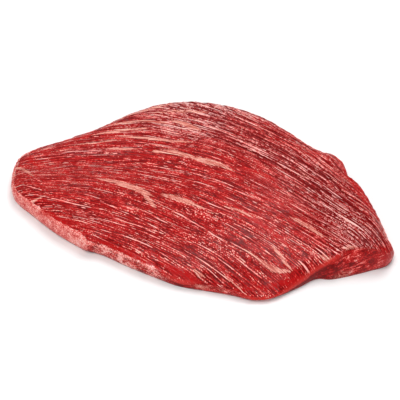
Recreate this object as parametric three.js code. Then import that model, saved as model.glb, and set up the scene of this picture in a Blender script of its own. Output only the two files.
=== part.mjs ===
// A raw beef flank steak lying flat: one closed solid, in millimetres, +Z up.
// X runs along the steak's length and Y across it. The origin is the middle of the box round the
// steak, on the plane that its underside rests on.
//
// The form is three surfaces that share their edges: a top laid in rows that follow the muscle
// grain, a wall that runs round the steak from the cut rim down to the foot, and a flat underside
// in rows like the top's, at half their number.

import * as THREE from 'three';

// Thickness of the meat over the middle, away from its mounds and hollows.
const PLAIN_THICKNESS = 16.5;

// Distance over which the top rounds down from its full thickness to the rim.
const SHOULDER = 10;

// The wall swells outwards between rim and foot by this share of its own height.
const WALL_SWELL = 0.08;

// Stations round the steak, seen from above and against the clock from the left tip. Each gives
// the cut rim of the top (x, y and its height) and the foot, where the wall meets the ground.
const STATIONS = [
  // left tip
  { rim: [-150, -20, 11], foot: [-149.5, -22] },
  { rim: [-146.5, -35, 11], foot: [-147, -36] },
  { rim: [-139, -48, 11], foot: [-139, -48.5] },
  // near side, left half: the thick film-covered wall
  { rim: [-119.5, -60, 11.5], foot: [-119.5, -60.5] },
  { rim: [-95.5, -70.5, 12.5], foot: [-95.5, -70.5] },
  { rim: [-76, -78.5, 13], foot: [-76.5, -79] },
  // near side, middle: the wall steps back and gets low
  { rim: [-66, -81.5, 11], foot: [-67.5, -79.5] },
  { rim: [-54, -81.5, 9], foot: [-54.5, -80.5] },
  { rim: [-33, -85, 9.5], foot: [-33.5, -85] },
  { rim: [-9, -89, 9], foot: [-9, -89] },
  { rim: [11, -91.5, 6.5], foot: [10, -91.5] },
  { rim: [30, -89.5, 7], foot: [30, -90] },
  { rim: [49, -88.5, 7], foot: [49, -88.5] },
  // thin tongue, undercut
  { rim: [66, -88.5, 3.5], foot: [65.5, -87] },
  { rim: [80, -83, 3.5], foot: [79, -81.5] },
  { rim: [94.5, -68, 5], foot: [93, -66.5] },
  { rim: [105.5, -55.5, 10], foot: [104, -54] },
  // thick lobe with its cut end face
  { rim: [116, -43.5, 18], foot: [115, -50.5] },
  { rim: [124, -35, 22], foot: [126, -44] },
  { rim: [137, -30, 22], foot: [140, -34] },
  { rim: [149, -26.5, 18], foot: [150.5, -24] },
  { rim: [151.5, -19, 14], foot: [152.5, -15] },
  { rim: [147.5, -10, 14], foot: [149.5, -7.5] },
  // far side, right half, with the notch at its shoulder
  { rim: [137, 7, 15], foot: [139, 8.5] },
  { rim: [119, 32, 15], foot: [121, 34] },
  { rim: [107, 44, 14], foot: [109, 46] },
  { rim: [98, 57, 13], foot: [99.5, 59] },
  { rim: [88, 62.5, 13], foot: [89, 64.5] },
  { rim: [72, 66, 13], foot: [73, 68] },
  { rim: [50, 77, 13], foot: [51, 79.5] },
  // far side, the broad back
  { rim: [26.5, 87.5, 13], foot: [27.5, 90] },
  { rim: [-3, 91.5, 12.5], foot: [-3, 94] },
  { rim: [-33, 90.5, 12.5], foot: [-34, 93] },
  { rim: [-60, 79, 11.5], foot: [-61.5, 81.5] },
  { rim: [-82, 60, 10.5], foot: [-84, 62] },
  { rim: [-102, 37, 10.5], foot: [-104, 39] },
  { rim: [-123, 16, 10.5], foot: [-125, 17.5] },
  { rim: [-142, -2.5, 10.5], foot: [-143.5, -1] },
];

// The stations at which the near, right, far and left sides of the outline meet.
const CORNERS = { nearLeft: 4, nearRight: 10, farRight: 26, farLeft: 34 };

// Mounds and hollows on the plain thickness: a centre, a reach each way and a rise.
const MOUNDS = [
  { x: 20, y: 8, reachX: 70, reachY: 40, rise: 2.5 },
  { x: 132, y: -14, reachX: 30, reachY: 26, rise: 8 },
  { x: 76, y: -84, reachX: 36, reachY: 26, rise: -11 },
  { x: -10, y: -92, reachX: 60, reachY: 16, rise: -5 },
  { x: -152, y: -10, reachX: 40, reachY: 60, rise: -3 },
  { x: -20, y: 92, reachX: 70, reachY: 22, rise: -1.5 },
];

// The muscle grain. A line of grain is y = middle(x) + s * fan(x): s numbers the line, in
// millimetres from the middle one at x = 0, the middle line arches over, and the fan opens the
// lines out towards the right.
const GRAIN = { offset: -12, slope: -0.11, arch: -0.00185, fanSlope: 0.0022, fanArch: -0.000006 };

// Bundles of muscle show as long low ridges along the grain, each four rows wide.
const BUNDLES = 14;
const BUNDLE_ROWS = 4;
const BUNDLE_RELIEF = 0.45;

// Mesh density of the top, rings of the wall from rim to foot, and how fast the bulges of the
// near and the far side fade from row to row. Rows and columns are even numbers.
const ROWS = BUNDLES * BUNDLE_ROWS;
const COLUMNS = 40;
const WALL_RINGS = 5;
const FADE_POWER = 3;

// Samples per side when the outline is divided evenly, and round the rim for distances to it.
const SIDE_SAMPLES = 600;
const RIM_SAMPLES = 480;

const rimCurve = new THREE.CatmullRomCurve3(
  STATIONS.map(({ rim }) => new THREE.Vector3(...rim)), true, 'catmullrom', 0.5);
const footCurve = new THREE.CatmullRomCurve3(
  STATIONS.map(({ foot }) => new THREE.Vector3(...foot, 0)), true, 'catmullrom', 0.5);

// The share of the way round the outline at which a station stands.
const stationShare = (station) => station / STATIONS.length;

// The point of a closed curve at a share of the way round, which may be below 0 or above 1.
const pointRound = (curve, share) => curve.getPoint(((share % 1) + 1) % 1);

const grainMiddle = (x) => GRAIN.offset + GRAIN.slope * x + GRAIN.arch * x * x;
const grainFan = (x) => 1 + GRAIN.fanSlope * x + GRAIN.fanArch * x * x;

// A point of the plan as (x, s), with s the number of the grain line through it, and back.
const toGrain = ({ x, y }) => new THREE.Vector2(x, (y - grainMiddle(x)) / grainFan(x));
const fromGrain = ({ x, y: s }) => new THREE.Vector2(x, grainMiddle(x) + s * grainFan(x));

// Shares of the way round, from one to another, at which a measure of the rim takes equal steps.
function evenShares(from, to, steps, measure) {
  const shares = [];
  const values = [];
  for (let i = 0; i <= SIDE_SAMPLES; i++) {
    const share = THREE.MathUtils.lerp(from, to, i / SIDE_SAMPLES);
    shares.push(share);
    values.push(measure(toGrain(pointRound(rimCurve, share))));
  }
  const first = values[0];
  const span = values[SIDE_SAMPLES] - first;
  const progress = (sample) => (values[sample] - first) / span;
  const even = [from];
  let sample = 0;
  for (let step = 1; step < steps; step++) {
    const wanted = step / steps;
    while (progress(sample + 1) < wanted) sample++;
    const between = (wanted - progress(sample)) / (progress(sample + 1) - progress(sample));
    even.push(THREE.MathUtils.lerp(shares[sample], shares[sample + 1], between));
  }
  even.push(to);
  return even;
}

// The four sides of the outline as shares of the way round. The near and far sides are listed
// from left to right, and the left and right sides from near to far.
function dividedSides() {
  const nearLeft = stationShare(CORNERS.nearLeft);
  const nearRight = stationShare(CORNERS.nearRight);
  const farRight = stationShare(CORNERS.farRight);
  const farLeft = stationShare(CORNERS.farLeft);
  const along = (point) => point.x;
  const across = (point) => point.y;
  return {
    near: evenShares(nearLeft, nearRight, COLUMNS, along),
    right: evenShares(nearRight, farRight, ROWS, across),
    far: evenShares(farRight, farLeft, COLUMNS, along).reverse(),
    left: evenShares(farLeft, nearLeft + 1, ROWS, across).reverse(),
  };
}

// The same sides with every second share.
function halvedSides(sides) {
  const everySecond = (shares) => shares.filter((_, i) => i % 2 === 0);
  return Object.fromEntries(Object.entries(sides).map(([side, shares]) => [side, everySecond(shares)]));
}

// Fills the plan inside a closed curve with rows of points. In (x, s) a row runs straight from
// the left side to the right side, and the near and far bulges fade towards the middle.
function planRows(curve, sides) {
  const edge = (share) => toGrain(pointRound(curve, share));
  const near = sides.near.map(edge);
  const far = sides.far.map(edge);
  const left = sides.left.map(edge);
  const right = sides.right.map(edge);
  const lastColumn = near.length - 1;
  const lastRow = left.length - 1;
  const straight = (row, column) => left[row].clone().lerp(right[row], column / lastColumn);
  return left.map((_, row) => near.map((nearPoint, column) => {
    const nearBulge = nearPoint.clone().sub(straight(0, column));
    const farBulge = far[column].clone().sub(straight(lastRow, column));
    return fromGrain(straight(row, column)
      .addScaledVector(nearBulge, (1 - row / lastRow) ** FADE_POWER)
      .addScaledVector(farBulge, (row / lastRow) ** FADE_POWER));
  }));
}

// The way round the edge of a filled plan, against the clock: the row and column of each point,
// and its share of the outline.
function wayRound(sides) {
  const lastColumn = sides.near.length - 1;
  const lastRow = sides.left.length - 1;
  return [
    ...sides.near.slice(0, -1).map((share, column) => ({ row: 0, column, share })),
    ...sides.right.slice(0, -1).map((share, row) => ({ row, column: lastColumn, share })),
    ...sides.far.slice(1).map((share, i) => ({ row: lastRow, column: i + 1, share })).reverse(),
    ...sides.left.slice(1).map((share, i) => ({ row: i + 1, column: 0, share })).reverse(),
  ];
}

// Thickness of the meat at a point of the plan: the plain thickness and its mounds.
function thickness(x, y) {
  return MOUNDS.reduce((height, mound) => {
    const dx = (x - mound.x) / mound.reachX;
    const dy = (y - mound.y) / mound.reachY;
    return height + mound.rise * Math.exp(-(dx * dx + dy * dy));
  }, PLAIN_THICKNESS);
}

// The nearest point of the rim to a point of the plan: its distance and its height.
function nearestRim(x, y, rimPoints) {
  let distance = Infinity;
  let height = 0;
  for (const rim of rimPoints) {
    const gap = Math.hypot(rim.x - x, rim.y - y);
    if (gap < distance) {
      distance = gap;
      height = rim.z;
    }
  }
  return { distance, height };
}

// Height of the top: it leaves the rim steeply and rounds over a shoulder to the full thickness.
// The ridges of the bundles rise with it.
function topHeight(x, y, row, rimPoints) {
  const rim = nearestRim(x, y, rimPoints);
  const inwards = Math.min(rim.distance / SHOULDER, 1);
  const rounded = inwards * (2 - inwards);
  const ridge = BUNDLE_RELIEF * Math.cos((2 * Math.PI * row) / BUNDLE_ROWS);
  return rim.height + (thickness(x, y) + ridge - rim.height) * rounded;
}

// A point of the wall: on the straight line from rim to foot, swollen outwards in between.
function wallPoint(share, down) {
  const rim = pointRound(rimCurve, share);
  const foot = pointRound(footCurve, share);
  const ahead = pointRound(rimCurve, share + 1 / RIM_SAMPLES);
  const behind = pointRound(rimCurve, share - 1 / RIM_SAMPLES);
  const outwards = new THREE.Vector3(ahead.y - behind.y, behind.x - ahead.x, 0).normalize();
  const swell = WALL_SWELL * rim.z * Math.sin(Math.PI * down);
  return rim.lerp(foot, down).addScaledVector(outwards, swell);
}

// A closed skin under construction: its vertices and its outward-facing triangles.
class Skin {
  constructor() {
    this.vertices = [];
    this.triangles = [];
  }

  addVertex(x, y, z) {
    this.vertices.push(x, y, z);
    return this.vertices.length / 3 - 1;
  }

  // A cell whose corners run round it, cut along one of its two diagonals.
  addCell(a, b, c, d, cutFromFirst) {
    if (cutFromFirst) this.triangles.push(a, b, c, a, c, d);
    else this.triangles.push(a, b, d, b, c, d);
  }

  // A sheet of rows of vertices, facing up or down. The cells of each quarter are cut towards
  // their own corner of the outline, so that no corner is left as a sliver.
  addSheet(rows, facesUp) {
    const cells = { across: rows.length - 1, along: rows[0].length - 1 };
    for (let row = 0; row < cells.across; row++) {
      for (let column = 0; column < cells.along; column++) {
        const cutFromFirst = (row < cells.across / 2) === (column < cells.along / 2);
        const a = rows[row][column];
        const b = rows[row][column + 1];
        const c = rows[row + 1][column + 1];
        const d = rows[row + 1][column];
        if (facesUp) this.addCell(a, b, c, d, cutFromFirst);
        else this.addCell(a, d, c, b, cutFromFirst);
      }
    }
  }

  // A band between two rings of as many vertices.
  addBand(upper, lower) {
    upper.forEach((_, i) => {
      const next = (i + 1) % upper.length;
      this.addCell(lower[i], lower[next], upper[next], upper[i], true);
    });
  }

  // A band down to a ring of half as many vertices.
  addHalvingBand(upper, lower) {
    lower.forEach((_, i) => {
      const next = (i + 1) % lower.length;
      const first = upper[2 * i];
      const middle = upper[2 * i + 1];
      const last = upper[(2 * i + 2) % upper.length];
      this.triangles.push(
        lower[i], middle, first,
        lower[i], lower[next], middle,
        lower[next], last, middle);
    });
  }

  toGeometry() {
    const geometry = new THREE.BufferGeometry();
    geometry.setAttribute('position', new THREE.Float32BufferAttribute(this.vertices, 3));
    geometry.setIndex(this.triangles);
    return geometry;
  }
}

function steakGeometry() {
  const sides = dividedSides();
  const footSides = halvedSides(sides);
  const rimPoints = rimCurve.getPoints(RIM_SAMPLES);
  const skin = new Skin();

  const top = planRows(rimCurve, sides).map((points, row) => (
    points.map(({ x, y }) => skin.addVertex(x, y, topHeight(x, y, row, rimPoints)))));
  const underside = planRows(footCurve, footSides).map((points) => (
    points.map(({ x, y }) => skin.addVertex(x, y, 0))));
  skin.addSheet(top, true);
  skin.addSheet(underside, false);

  const round = wayRound(sides);
  let ring = round.map(({ row, column }) => top[row][column]);
  for (let number = 1; number < WALL_RINGS; number++) {
    const lower = round.map(({ share }) => (
      skin.addVertex(...wallPoint(share, number / WALL_RINGS).toArray())));
    skin.addBand(ring, lower);
    ring = lower;
  }
  skin.addHalvingBand(ring, wayRound(footSides).map(({ row, column }) => underside[row][column]));

  const geometry = skin.toGeometry();
  geometry.computeBoundingBox();
  const middle = geometry.boundingBox.getCenter(new THREE.Vector3());
  geometry.translate(-middle.x, -middle.y, 0);
  geometry.computeVertexNormals();
  return geometry;
}

const rawMeat = new THREE.MeshStandardMaterial({ color: 0xbe4341, roughness: 0.42, metalness: 0 });

const steak = new THREE.Mesh(steakGeometry(), rawMeat);
steak.name = 'steak';

const flankSteak = new THREE.Group();
flankSteak.add(steak);

export default flankSteak;
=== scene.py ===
"""A raw beef flank steak on a plain pale floor, under soft studio light.

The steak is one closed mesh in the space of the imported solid. Its top is a sheet whose rows follow
the muscle grain, its wall runs from the cut rim down to the foot, and its underside is a sheet
like the top. Lengths are millimetres until a mesh is made, and metres in Blender.
"""

import logging
from dataclasses import dataclass, field
from enum import Enum

import bpy
import numpy as np
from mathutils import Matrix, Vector
from numpy.typing import NDArray


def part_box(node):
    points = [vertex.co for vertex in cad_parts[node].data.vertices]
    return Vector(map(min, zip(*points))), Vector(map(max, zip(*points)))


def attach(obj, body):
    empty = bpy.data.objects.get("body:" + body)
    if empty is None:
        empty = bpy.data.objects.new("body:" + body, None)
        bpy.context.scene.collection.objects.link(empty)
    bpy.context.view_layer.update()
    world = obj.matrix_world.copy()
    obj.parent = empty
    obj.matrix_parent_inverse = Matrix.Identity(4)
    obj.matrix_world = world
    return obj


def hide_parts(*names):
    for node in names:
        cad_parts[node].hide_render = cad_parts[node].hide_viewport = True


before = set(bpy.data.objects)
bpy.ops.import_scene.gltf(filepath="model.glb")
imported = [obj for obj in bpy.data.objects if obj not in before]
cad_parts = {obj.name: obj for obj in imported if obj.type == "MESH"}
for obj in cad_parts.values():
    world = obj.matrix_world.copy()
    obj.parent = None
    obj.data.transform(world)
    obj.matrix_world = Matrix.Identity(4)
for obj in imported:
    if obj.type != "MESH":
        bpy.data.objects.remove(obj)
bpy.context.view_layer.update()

NODE = "steak"
BODY = "root"
GRAIN_MAP = "grain"
MM = 0.001
HALFWAY = 0.5

Array = NDArray[np.float64]
Triangles = NDArray[np.int64]
Triple = tuple[float, float, float]
Colour = Triple
Span = tuple[float, float]

log = logging.getLogger("flank_steak")


def display(red: int, green: int, blue: int) -> Colour:
    """Turns a screen's 0 to 255 into linear light, ((c / 255 + 0.055) / 1.055) to the power 2.4."""
    linear = ((np.array([red, green, blue]) / 255 + 0.055) / 1.055) ** 2.4
    return float(linear[0]), float(linear[1]), float(linear[2])


def smooth(value: Array, low: float, high: float) -> Array:
    """Rises from 0 at low to 1 at high along 3t^2 - 2t^3, with t the share of the way."""
    share = np.clip((value - low) / (high - low), 0, 1)
    return share * share * (3 - 2 * share)


@dataclass(frozen=True)
class Noise:
    """Smooth random values over a plane, the same on every run.

    Attributes:
        seed: Number that picks the random lattice.
        size: Lattice points each way before the pattern repeats.
    """

    seed: int
    size: int = 256

    def at(self, u: Array, v: Array) -> Array:
        """Blends the four lattice values round each point, with smoothed weights.

        Args:
            u: First coordinate, in lattice steps.
            v: Second coordinate, in lattice steps.

        Returns:
            Values between -1 and 1.
        """
        lattice = np.random.default_rng(self.seed).uniform(-1, 1, (self.size, self.size))
        column = np.floor(u).astype(int)
        row = np.floor(v).astype(int)
        across = smooth(u - column, 0, 1)
        down = smooth(v - row, 0, 1)
        column, row = column % self.size, row % self.size
        next_column, next_row = (column + 1) % self.size, (row + 1) % self.size
        near = lattice[row, column] * (1 - across) + lattice[row, next_column] * across
        far = lattice[next_row, column] * (1 - across) + lattice[next_row, next_column] * across
        return near * (1 - down) + far * down


@dataclass(frozen=True)
class Ripple:
    """A noise stretched over a plane: amount * noise(u / along, v / across).

    Attributes:
        seed: Number that picks the noise.
        along: Distance between its lattice points along u.
        across: Distance between them along v.
        amount: The most that it adds or takes away.
    """

    seed: int
    along: float
    across: float
    amount: float = 1.0

    def at(self, u: Array, v: Array) -> Array:
        """Gives the ripple at each point."""
        return self.amount * Noise(self.seed).at(u / self.along, v / self.across)


def rippled(ripples: tuple[Ripple, ...], u: Array, v: Array) -> Array:
    """Gives the sum of the ripples at each point."""
    return sum(ripple.at(u, v) for ripple in ripples)


@dataclass(frozen=True)
class MuscleGrain:
    """The lines of the muscle grain, seen from above.

    Line s is y = middle(x) + s * fan(x), with middle(x) = offset + slope x + arch x^2 and
    fan(x) = 1 + fan_slope x + fan_arch x^2. The middle line arches over, and the fan opens the
    lines out towards the right.
    """

    offset: float = -12.0
    slope: float = -0.11
    arch: float = -0.00185
    fan_slope: float = 0.0022
    fan_arch: float = -0.000006

    def middle(self, x: Array) -> Array:
        """Gives y on the middle line at x."""
        return self.offset + self.slope * x + self.arch * x * x

    def fan(self, x: Array) -> Array:
        """Gives how far apart at x the lines stand that are 1 mm apart at x = 0."""
        return 1 + self.fan_slope * x + self.fan_arch * x * x

    def line(self, x: Array, y: Array) -> Array:
        """Gives the number s of the line through each point."""
        return (y - self.middle(x)) / self.fan(x)

    def y(self, x: Array, s: Array) -> Array:
        """Gives y on line s at x."""
        return self.middle(x) + s * self.fan(x)


class Wall(Enum):
    """What covers the wall at a station."""

    FILM = "film"
    THIN = "thin film"
    CUT = "cut"
    LIP = "lip"
    RED = "red"


@dataclass(frozen=True)
class Station:
    """One place on the way round the steak.

    Attributes:
        rim: The cut edge of the top, x, y and height.
        foot: Where the wall meets the ground, x and y.
        wall: What covers the wall there.
    """

    rim: tuple[float, float, float]
    foot: Span
    wall: Wall


# The way round the steak, against the clock from its left tip.
STATIONS = (
    Station((-150.6, -14.5, 9), (-150.6, -15.5), Wall.FILM),
    Station((-148.5, -31, 8.5), (-148.8, -32), Wall.FILM),
    Station((-139.5, -48.5, 9.5), (-139.5, -49), Wall.FILM),
    Station((-119.3, -59.7, 10.8), (-119.3, -60.2), Wall.FILM),
    Station((-95.9, -71.4, 12.5), (-95.9, -71.4), Wall.FILM),
    Station((-75.6, -77.5, 13), (-76.1, -78), Wall.FILM),
    Station((-66.1, -82.2, 11), (-67.6, -80.2), Wall.FILM),
    Station((-54, -81.5, 9), (-54.5, -80.5), Wall.THIN),
    Station((-33, -85, 9.5), (-33.5, -85), Wall.THIN),
    Station((-9, -89, 9), (-9, -89), Wall.THIN),
    Station((11, -91.3, 6.5), (10, -91.3), Wall.LIP),
    Station((30, -88.9, 7), (30, -89.4), Wall.CUT),
    Station((49, -87.5, 7), (49, -87.5), Wall.CUT),
    Station((66, -88.5, 3.5), (65.5, -87), Wall.LIP),
    Station((79.6, -82.5, 4), (78.6, -81), Wall.LIP),
    Station((93.7, -66.2, 6.5), (93.2, -66.7), Wall.LIP),
    Station((104.5, -52.5, 11.5), (104, -54), Wall.LIP),
    Station((116, -43.5, 18), (115, -50.5), Wall.LIP),
    Station((124, -35, 22), (126, -44), Wall.CUT),
    Station((137, -30, 22), (140, -34), Wall.CUT),
    Station((149.7, -27.3, 18), (151.4, -25), Wall.RED),
    Station((153.2, -19, 14), (154.2, -15), Wall.RED),
    Station((147.5, -10, 14), (149.5, -7.5), Wall.FILM),
    Station((137, 7, 15), (139, 8.5), Wall.FILM),
    Station((118.7, 31.7, 15), (120.7, 33.7), Wall.RED),
    Station((105.3, 42.5, 14), (107.3, 44.5), Wall.RED),
    Station((97.5, 56.5, 13), (99, 58.5), Wall.RED),
    Station((88.4, 63.6, 13), (89.4, 65.6), Wall.FILM),
    Station((72, 66, 13), (73, 68), Wall.FILM),
    Station((49.7, 76.4, 13), (50.7, 78.9), Wall.FILM),
    Station((26.3, 86.8, 13), (27.3, 89.3), Wall.FILM),
    Station((-3, 92.7, 12.5), (-3, 95.2), Wall.FILM),
    Station((-33, 90.3, 12.5), (-34, 92.8), Wall.FILM),
    Station((-60.7, 80.2, 11.5), (-62.2, 82.7), Wall.FILM),
    Station((-83.2, 61.2, 10.5), (-85.2, 63.2), Wall.FILM),
    Station((-102, 37, 10.5), (-104, 39), Wall.FILM),
    Station((-123, 16, 10.5), (-125, 17.5), Wall.FILM),
    Station((-142.6, -2.1, 10.5), (-144.1, -0.6), Wall.FILM),
)


class Corner(Enum):
    """The stations at which the sides of the outline meet."""

    NEAR_LEFT = 4
    NEAR_RIGHT = 10
    FAR_RIGHT = 26
    FAR_LEFT = 34


@dataclass
class Sides:
    """The four sides of the outline as shares of the way round it.

    Attributes:
        near: From left to right.
        right: From near to far.
        far: From left to right.
        left: From near to far.
    """

    near: Array
    right: Array
    far: Array
    left: Array

    def halved(self) -> "Sides":
        """Gives the same sides with every second share."""
        return Sides(self.near[::2], self.right[::2], self.far[::2], self.left[::2])

    def round_shares(self) -> Array:
        """Gives the shares in order round the outline, against the clock."""
        return np.concatenate([self.near[:-1], self.right[:-1], self.far[:0:-1], self.left[:0:-1]])

    def round_cells(self) -> tuple[Triangles, Triangles]:
        """Places those shares in a sheet between the sides.

        Returns:
            The row and the column of each share.
        """
        last_column, last_row = len(self.near) - 1, len(self.left) - 1
        columns, rows = np.arange(last_column), np.arange(last_row)
        row = np.concatenate([0 * columns, rows, 0 * columns + last_row, last_row - rows])
        column = np.concatenate([columns, 0 * rows + last_column, last_column - columns, 0 * rows])
        return row, column


@dataclass
class Outline:
    """The rim and the foot as closed smooth curves through the stations.

    Attributes:
        grain: The lines that the left and right sides are divided by.
        samples: Points per side when it is divided evenly.
        step: Share of the way round between the two points that give a direction.
        fade_power: How fast the near and the far bulge fade from row to row of a sheet.
        fray: How far the rim strays in and out, in millimetres.
        frays: How many times it does so on the way round.
        finer: How many times as often it strays in a finer way too.
        fine_fray: How far it does that, in frays.
        fray_seed: Number that picks the noise that the rim strays with.
        fine_fray_seed: Number that picks the finer one.
        rims: The stations' rims, a row a station.
        feet: The stations' feet, a row a station.
    """

    grain: MuscleGrain
    samples: int = 4000
    step: float = 1 / 480
    fade_power: int = 3
    fray: float = 0.3
    frays: int = 260
    finer: int = 3
    fine_fray: float = 0.5
    fray_seed: int = 51
    fine_fray_seed: int = 52
    rims: Array = field(init=False)
    feet: Array = field(init=False)

    def __post_init__(self) -> None:
        """Lists the stations' rims and feet as arrays."""
        self.rims = np.array([station.rim for station in STATIONS], float)
        self.feet = np.array([(*station.foot, 0) for station in STATIONS], float)

    def _curve(self, points: Array, shares: Array) -> Array:
        """Follows a closed Catmull-Rom curve.

        Between two points the curve is the cubic that meets both, with half the step from each
        point's neighbour before it to its neighbour after it as the slope there.

        Args:
            points: What the curve passes through.
            shares: Shares of the way round, which may be below 0 or above 1.

        Returns:
            A point for each share.
        """
        place = (shares % 1) * len(points)
        index = np.floor(place).astype(int)
        t = (place - index)[:, None]
        before, start, end, after = (points[(index + step) % len(points)] for step in (-1, 0, 1, 2))
        slope, next_slope = (end - before) / 2, (after - start) / 2
        square, cube = t * t, t * t * t
        return (start * (2 * cube - 3 * square + 1) + slope * (cube - 2 * square + t)
                + end * (3 * square - 2 * cube) + next_slope * (cube - square))

    def rim(self, shares: Array) -> Array:
        """Gives the rim: the curve through the stations plus fray times two noises, outwards.

        Args:
            shares: Shares of the way round.

        Returns:
            A point for each share.
        """
        place = (shares % 1) * self.frays
        coarse = Noise(self.fray_seed, self.frays).at(place, 0 * place)
        fine_noise = Noise(self.fine_fray_seed, self.finer * self.frays)
        fine = fine_noise.at(self.finer * place, 0 * place)
        stray = self.fray * (coarse + self.fine_fray * fine)
        return self._curve(self.rims, shares) + self.outwards(shares) * stray[:, None]

    def foot(self, shares: Array) -> Array:
        """Gives the foot's points at shares of the way round."""
        return self._curve(self.feet, shares)

    def outwards(self, shares: Array) -> Array:
        """Gives the level direction out of the steak: the curve's direction turned clockwise.

        Args:
            shares: Shares of the way round.

        Returns:
            A direction of length 1 for each share.
        """
        before, after = (self._curve(self.rims, shares + step) for step in (-self.step, self.step))
        ahead = after - before
        out = np.stack([ahead[:, 1], -ahead[:, 0], 0 * ahead[:, 0]], axis=1)
        return out / np.linalg.norm(out, axis=1, keepdims=True)

    def covered(self, shares: Array, wall: Wall) -> Array:
        """Measures how much of a wall's covering there is at each share.

        Each station counts 1 or 0, and between two stations the value runs smoothly.

        Args:
            shares: Shares of the way round.
            wall: The covering.

        Returns:
            Values between 0 and 1.
        """
        amount = np.array([float(station.wall is wall) for station in STATIONS])
        place = (shares % 1) * len(amount)
        index = np.floor(place).astype(int)
        t = smooth(place - index, 0, 1)
        return amount[index % len(amount)] * (1 - t) + amount[(index + 1) % len(amount)] * t

    def _even(self, start: float, end: float, steps: int, by_line: bool) -> Array:
        """Divides a side so that x, or the grain line's number, takes equal steps.

        Args:
            start: Station number at which the side starts.
            end: Station number at which it ends.
            steps: How many parts the side gets.
            by_line: Whether the grain line's number is what takes equal steps.

        Returns:
            Shares of the way round, from start to end.
        """
        shares = np.linspace(start, end, self.samples) / len(STATIONS)
        rim = self._curve(self.rims, shares)
        measure = self.grain.line(rim[:, 0], rim[:, 1]) if by_line else rim[:, 0]
        progress = (measure - measure[0]) / (measure[-1] - measure[0])
        return np.interp(np.linspace(0, 1, steps + 1), progress, shares)

    def sides(self, columns: int, rows: int) -> Sides:
        """Divides the whole outline.

        Args:
            columns: Parts of the near and of the far side.
            rows: Parts of the left and of the right side.

        Returns:
            The divided sides.
        """
        near_left, near_right = Corner.NEAR_LEFT.value, Corner.NEAR_RIGHT.value
        far_right, far_left = Corner.FAR_RIGHT.value, Corner.FAR_LEFT.value
        once_round = near_left + len(STATIONS)
        return Sides(
            near=self._even(near_left, near_right, columns, False),
            right=self._even(near_right, far_right, rows, True),
            far=self._even(far_right, far_left, columns, False)[::-1],
            left=self._even(far_left, once_round, rows, True)[::-1],
        )

    def fill(self, sides: Sides, on_foot: bool) -> tuple[Array, Array]:
        """Fills the plan between four sides with rows of points.

        In (x, s) a row is the straight line from the left side to the right side, and the bulge
        of the near side fades with (1 - row share)^fade_power, as the far one's does from its
        own side.

        Args:
            sides: The divided sides.
            on_foot: Whether the foot is filled, not the rim.

        Returns:
            x and the grain line's number s, each with a row for each row of points.
        """
        def edge(shares: Array) -> Array:
            """Gives a side's points as x and s."""
            points = self.foot(shares) if on_foot else self.rim(shares)
            return np.stack([points[:, 0], self.grain.line(points[:, 0], points[:, 1])], axis=1)

        near, right, far, left = map(edge, (sides.near, sides.right, sides.far, sides.left))
        along = np.linspace(0, 1, len(near))[None, :, None]
        across = np.linspace(0, 1, len(left))[:, None, None]
        straight = left[:, None] * (1 - along) + right[:, None] * along
        near_bulge = (near - straight[0])[None] * (1 - across) ** self.fade_power
        far_bulge = (far - straight[-1])[None] * across ** self.fade_power
        filled = straight + near_bulge + far_bulge
        return filled[..., 0], filled[..., 1]


@dataclass(frozen=True)
class Mound:
    """A soft rise or hollow of the top: rise * exp(-dx^2 - dy^2), with dx and dy in reaches."""

    x: float
    y: float
    reach_x: float
    reach_y: float
    rise: float

    def height(self, x: Array, y: Array) -> Array:
        """Gives the rise at each point."""
        dx, dy = (x - self.x) / self.reach_x, (y - self.y) / self.reach_y
        return self.rise * np.exp(-dx * dx - dy * dy)


# Where the top is thicker or thinner than in the middle of the steak.
MOUNDS = (
    Mound(20, 8, 70, 40, 2.5),
    Mound(132, -14, 30, 26, 8),
    Mound(76, -84, 36, 26, -11),
    Mound(-10, -92, 60, 16, -5),
    Mound(-152, -10, 40, 60, -3),
    Mound(-20, 92, 70, 22, -1.5),
)


class Mark(Enum):
    """What the mesh tells the finish about each of its points, as amounts from 0 to 1."""

    FAT = "fat"
    LINE = "line"
    FILM = "film"
    # Silver skin, together with sheen painted in its colours: partly painted sheen.
    SILVER_AND_SHEEN = "silver_and_sheen"
    RED = "red"
    LIP = "lip"
    # Grit patches, and pale grains along the rim that are painted glitter.
    GRIT = "grit"
    ROPE = "rope"
    # Painted shade: in furrows, rope troughs, beside the long pale lines, under the lip and in the
    # film's end tick.
    PAINTED_SHADE = "furrow"
    CUT = "cut"
    DULL = "dull"
    # The ropes' crests, which carry painted sheen and painted glints.
    CREST = "crest"


# The power that blunts a strand's ends, the share of its half width over which it fades, and a
# half width that keeps its ends from being divided by 0.
STRAND_TAPER = 0.6
STRAND_EDGE = 0.8
THINNEST = 1e-6


@dataclass(frozen=True)
class Strand:
    """A long thin mark on the top, such as a strand of fat or a furrow.

    Its middle runs from one point to the other, straight in (x, s) apart from a bow to the side,
    and its half width swells as sin(pi t^lean)^STRAND_TAPER between its pointed ends.

    Attributes:
        start: x and s of its left end.
        end: x and s of its right end.
        width: Full width at its widest, in s.
        bow: How far the middle stands off the straight line, in s.
        strength: The most it counts.
        lean: Above 1 it is widest near its right end, below 1 near its left end.
    """

    start: Span
    end: Span
    width: float
    bow: float = 0.0
    strength: float = 1.0
    lean: float = 1.0

    def amount(self, x: Array, s: Array, widened: float = 1.0) -> Array:
        """Measures how much of the strand there is at each point.

        Args:
            x: Along the steak.
            s: The grain line's number.
            widened: How many times wider the strand is taken to be.

        Returns:
            0 outside the strand, rising to its strength along its middle.
        """
        t = np.clip((x - self.start[0]) / (self.end[0] - self.start[0]), 0, 1)
        wave = np.sin(np.pi * t)
        middle = self.start[1] + (self.end[1] - self.start[1]) * t + self.bow * wave
        swell = np.sin(np.pi * t ** self.lean) ** STRAND_TAPER
        half = 0.5 * widened * self.width * swell + THINNEST
        return self.strength * smooth(1 - np.abs(s - middle) / half, 0, STRAND_EDGE)


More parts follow.
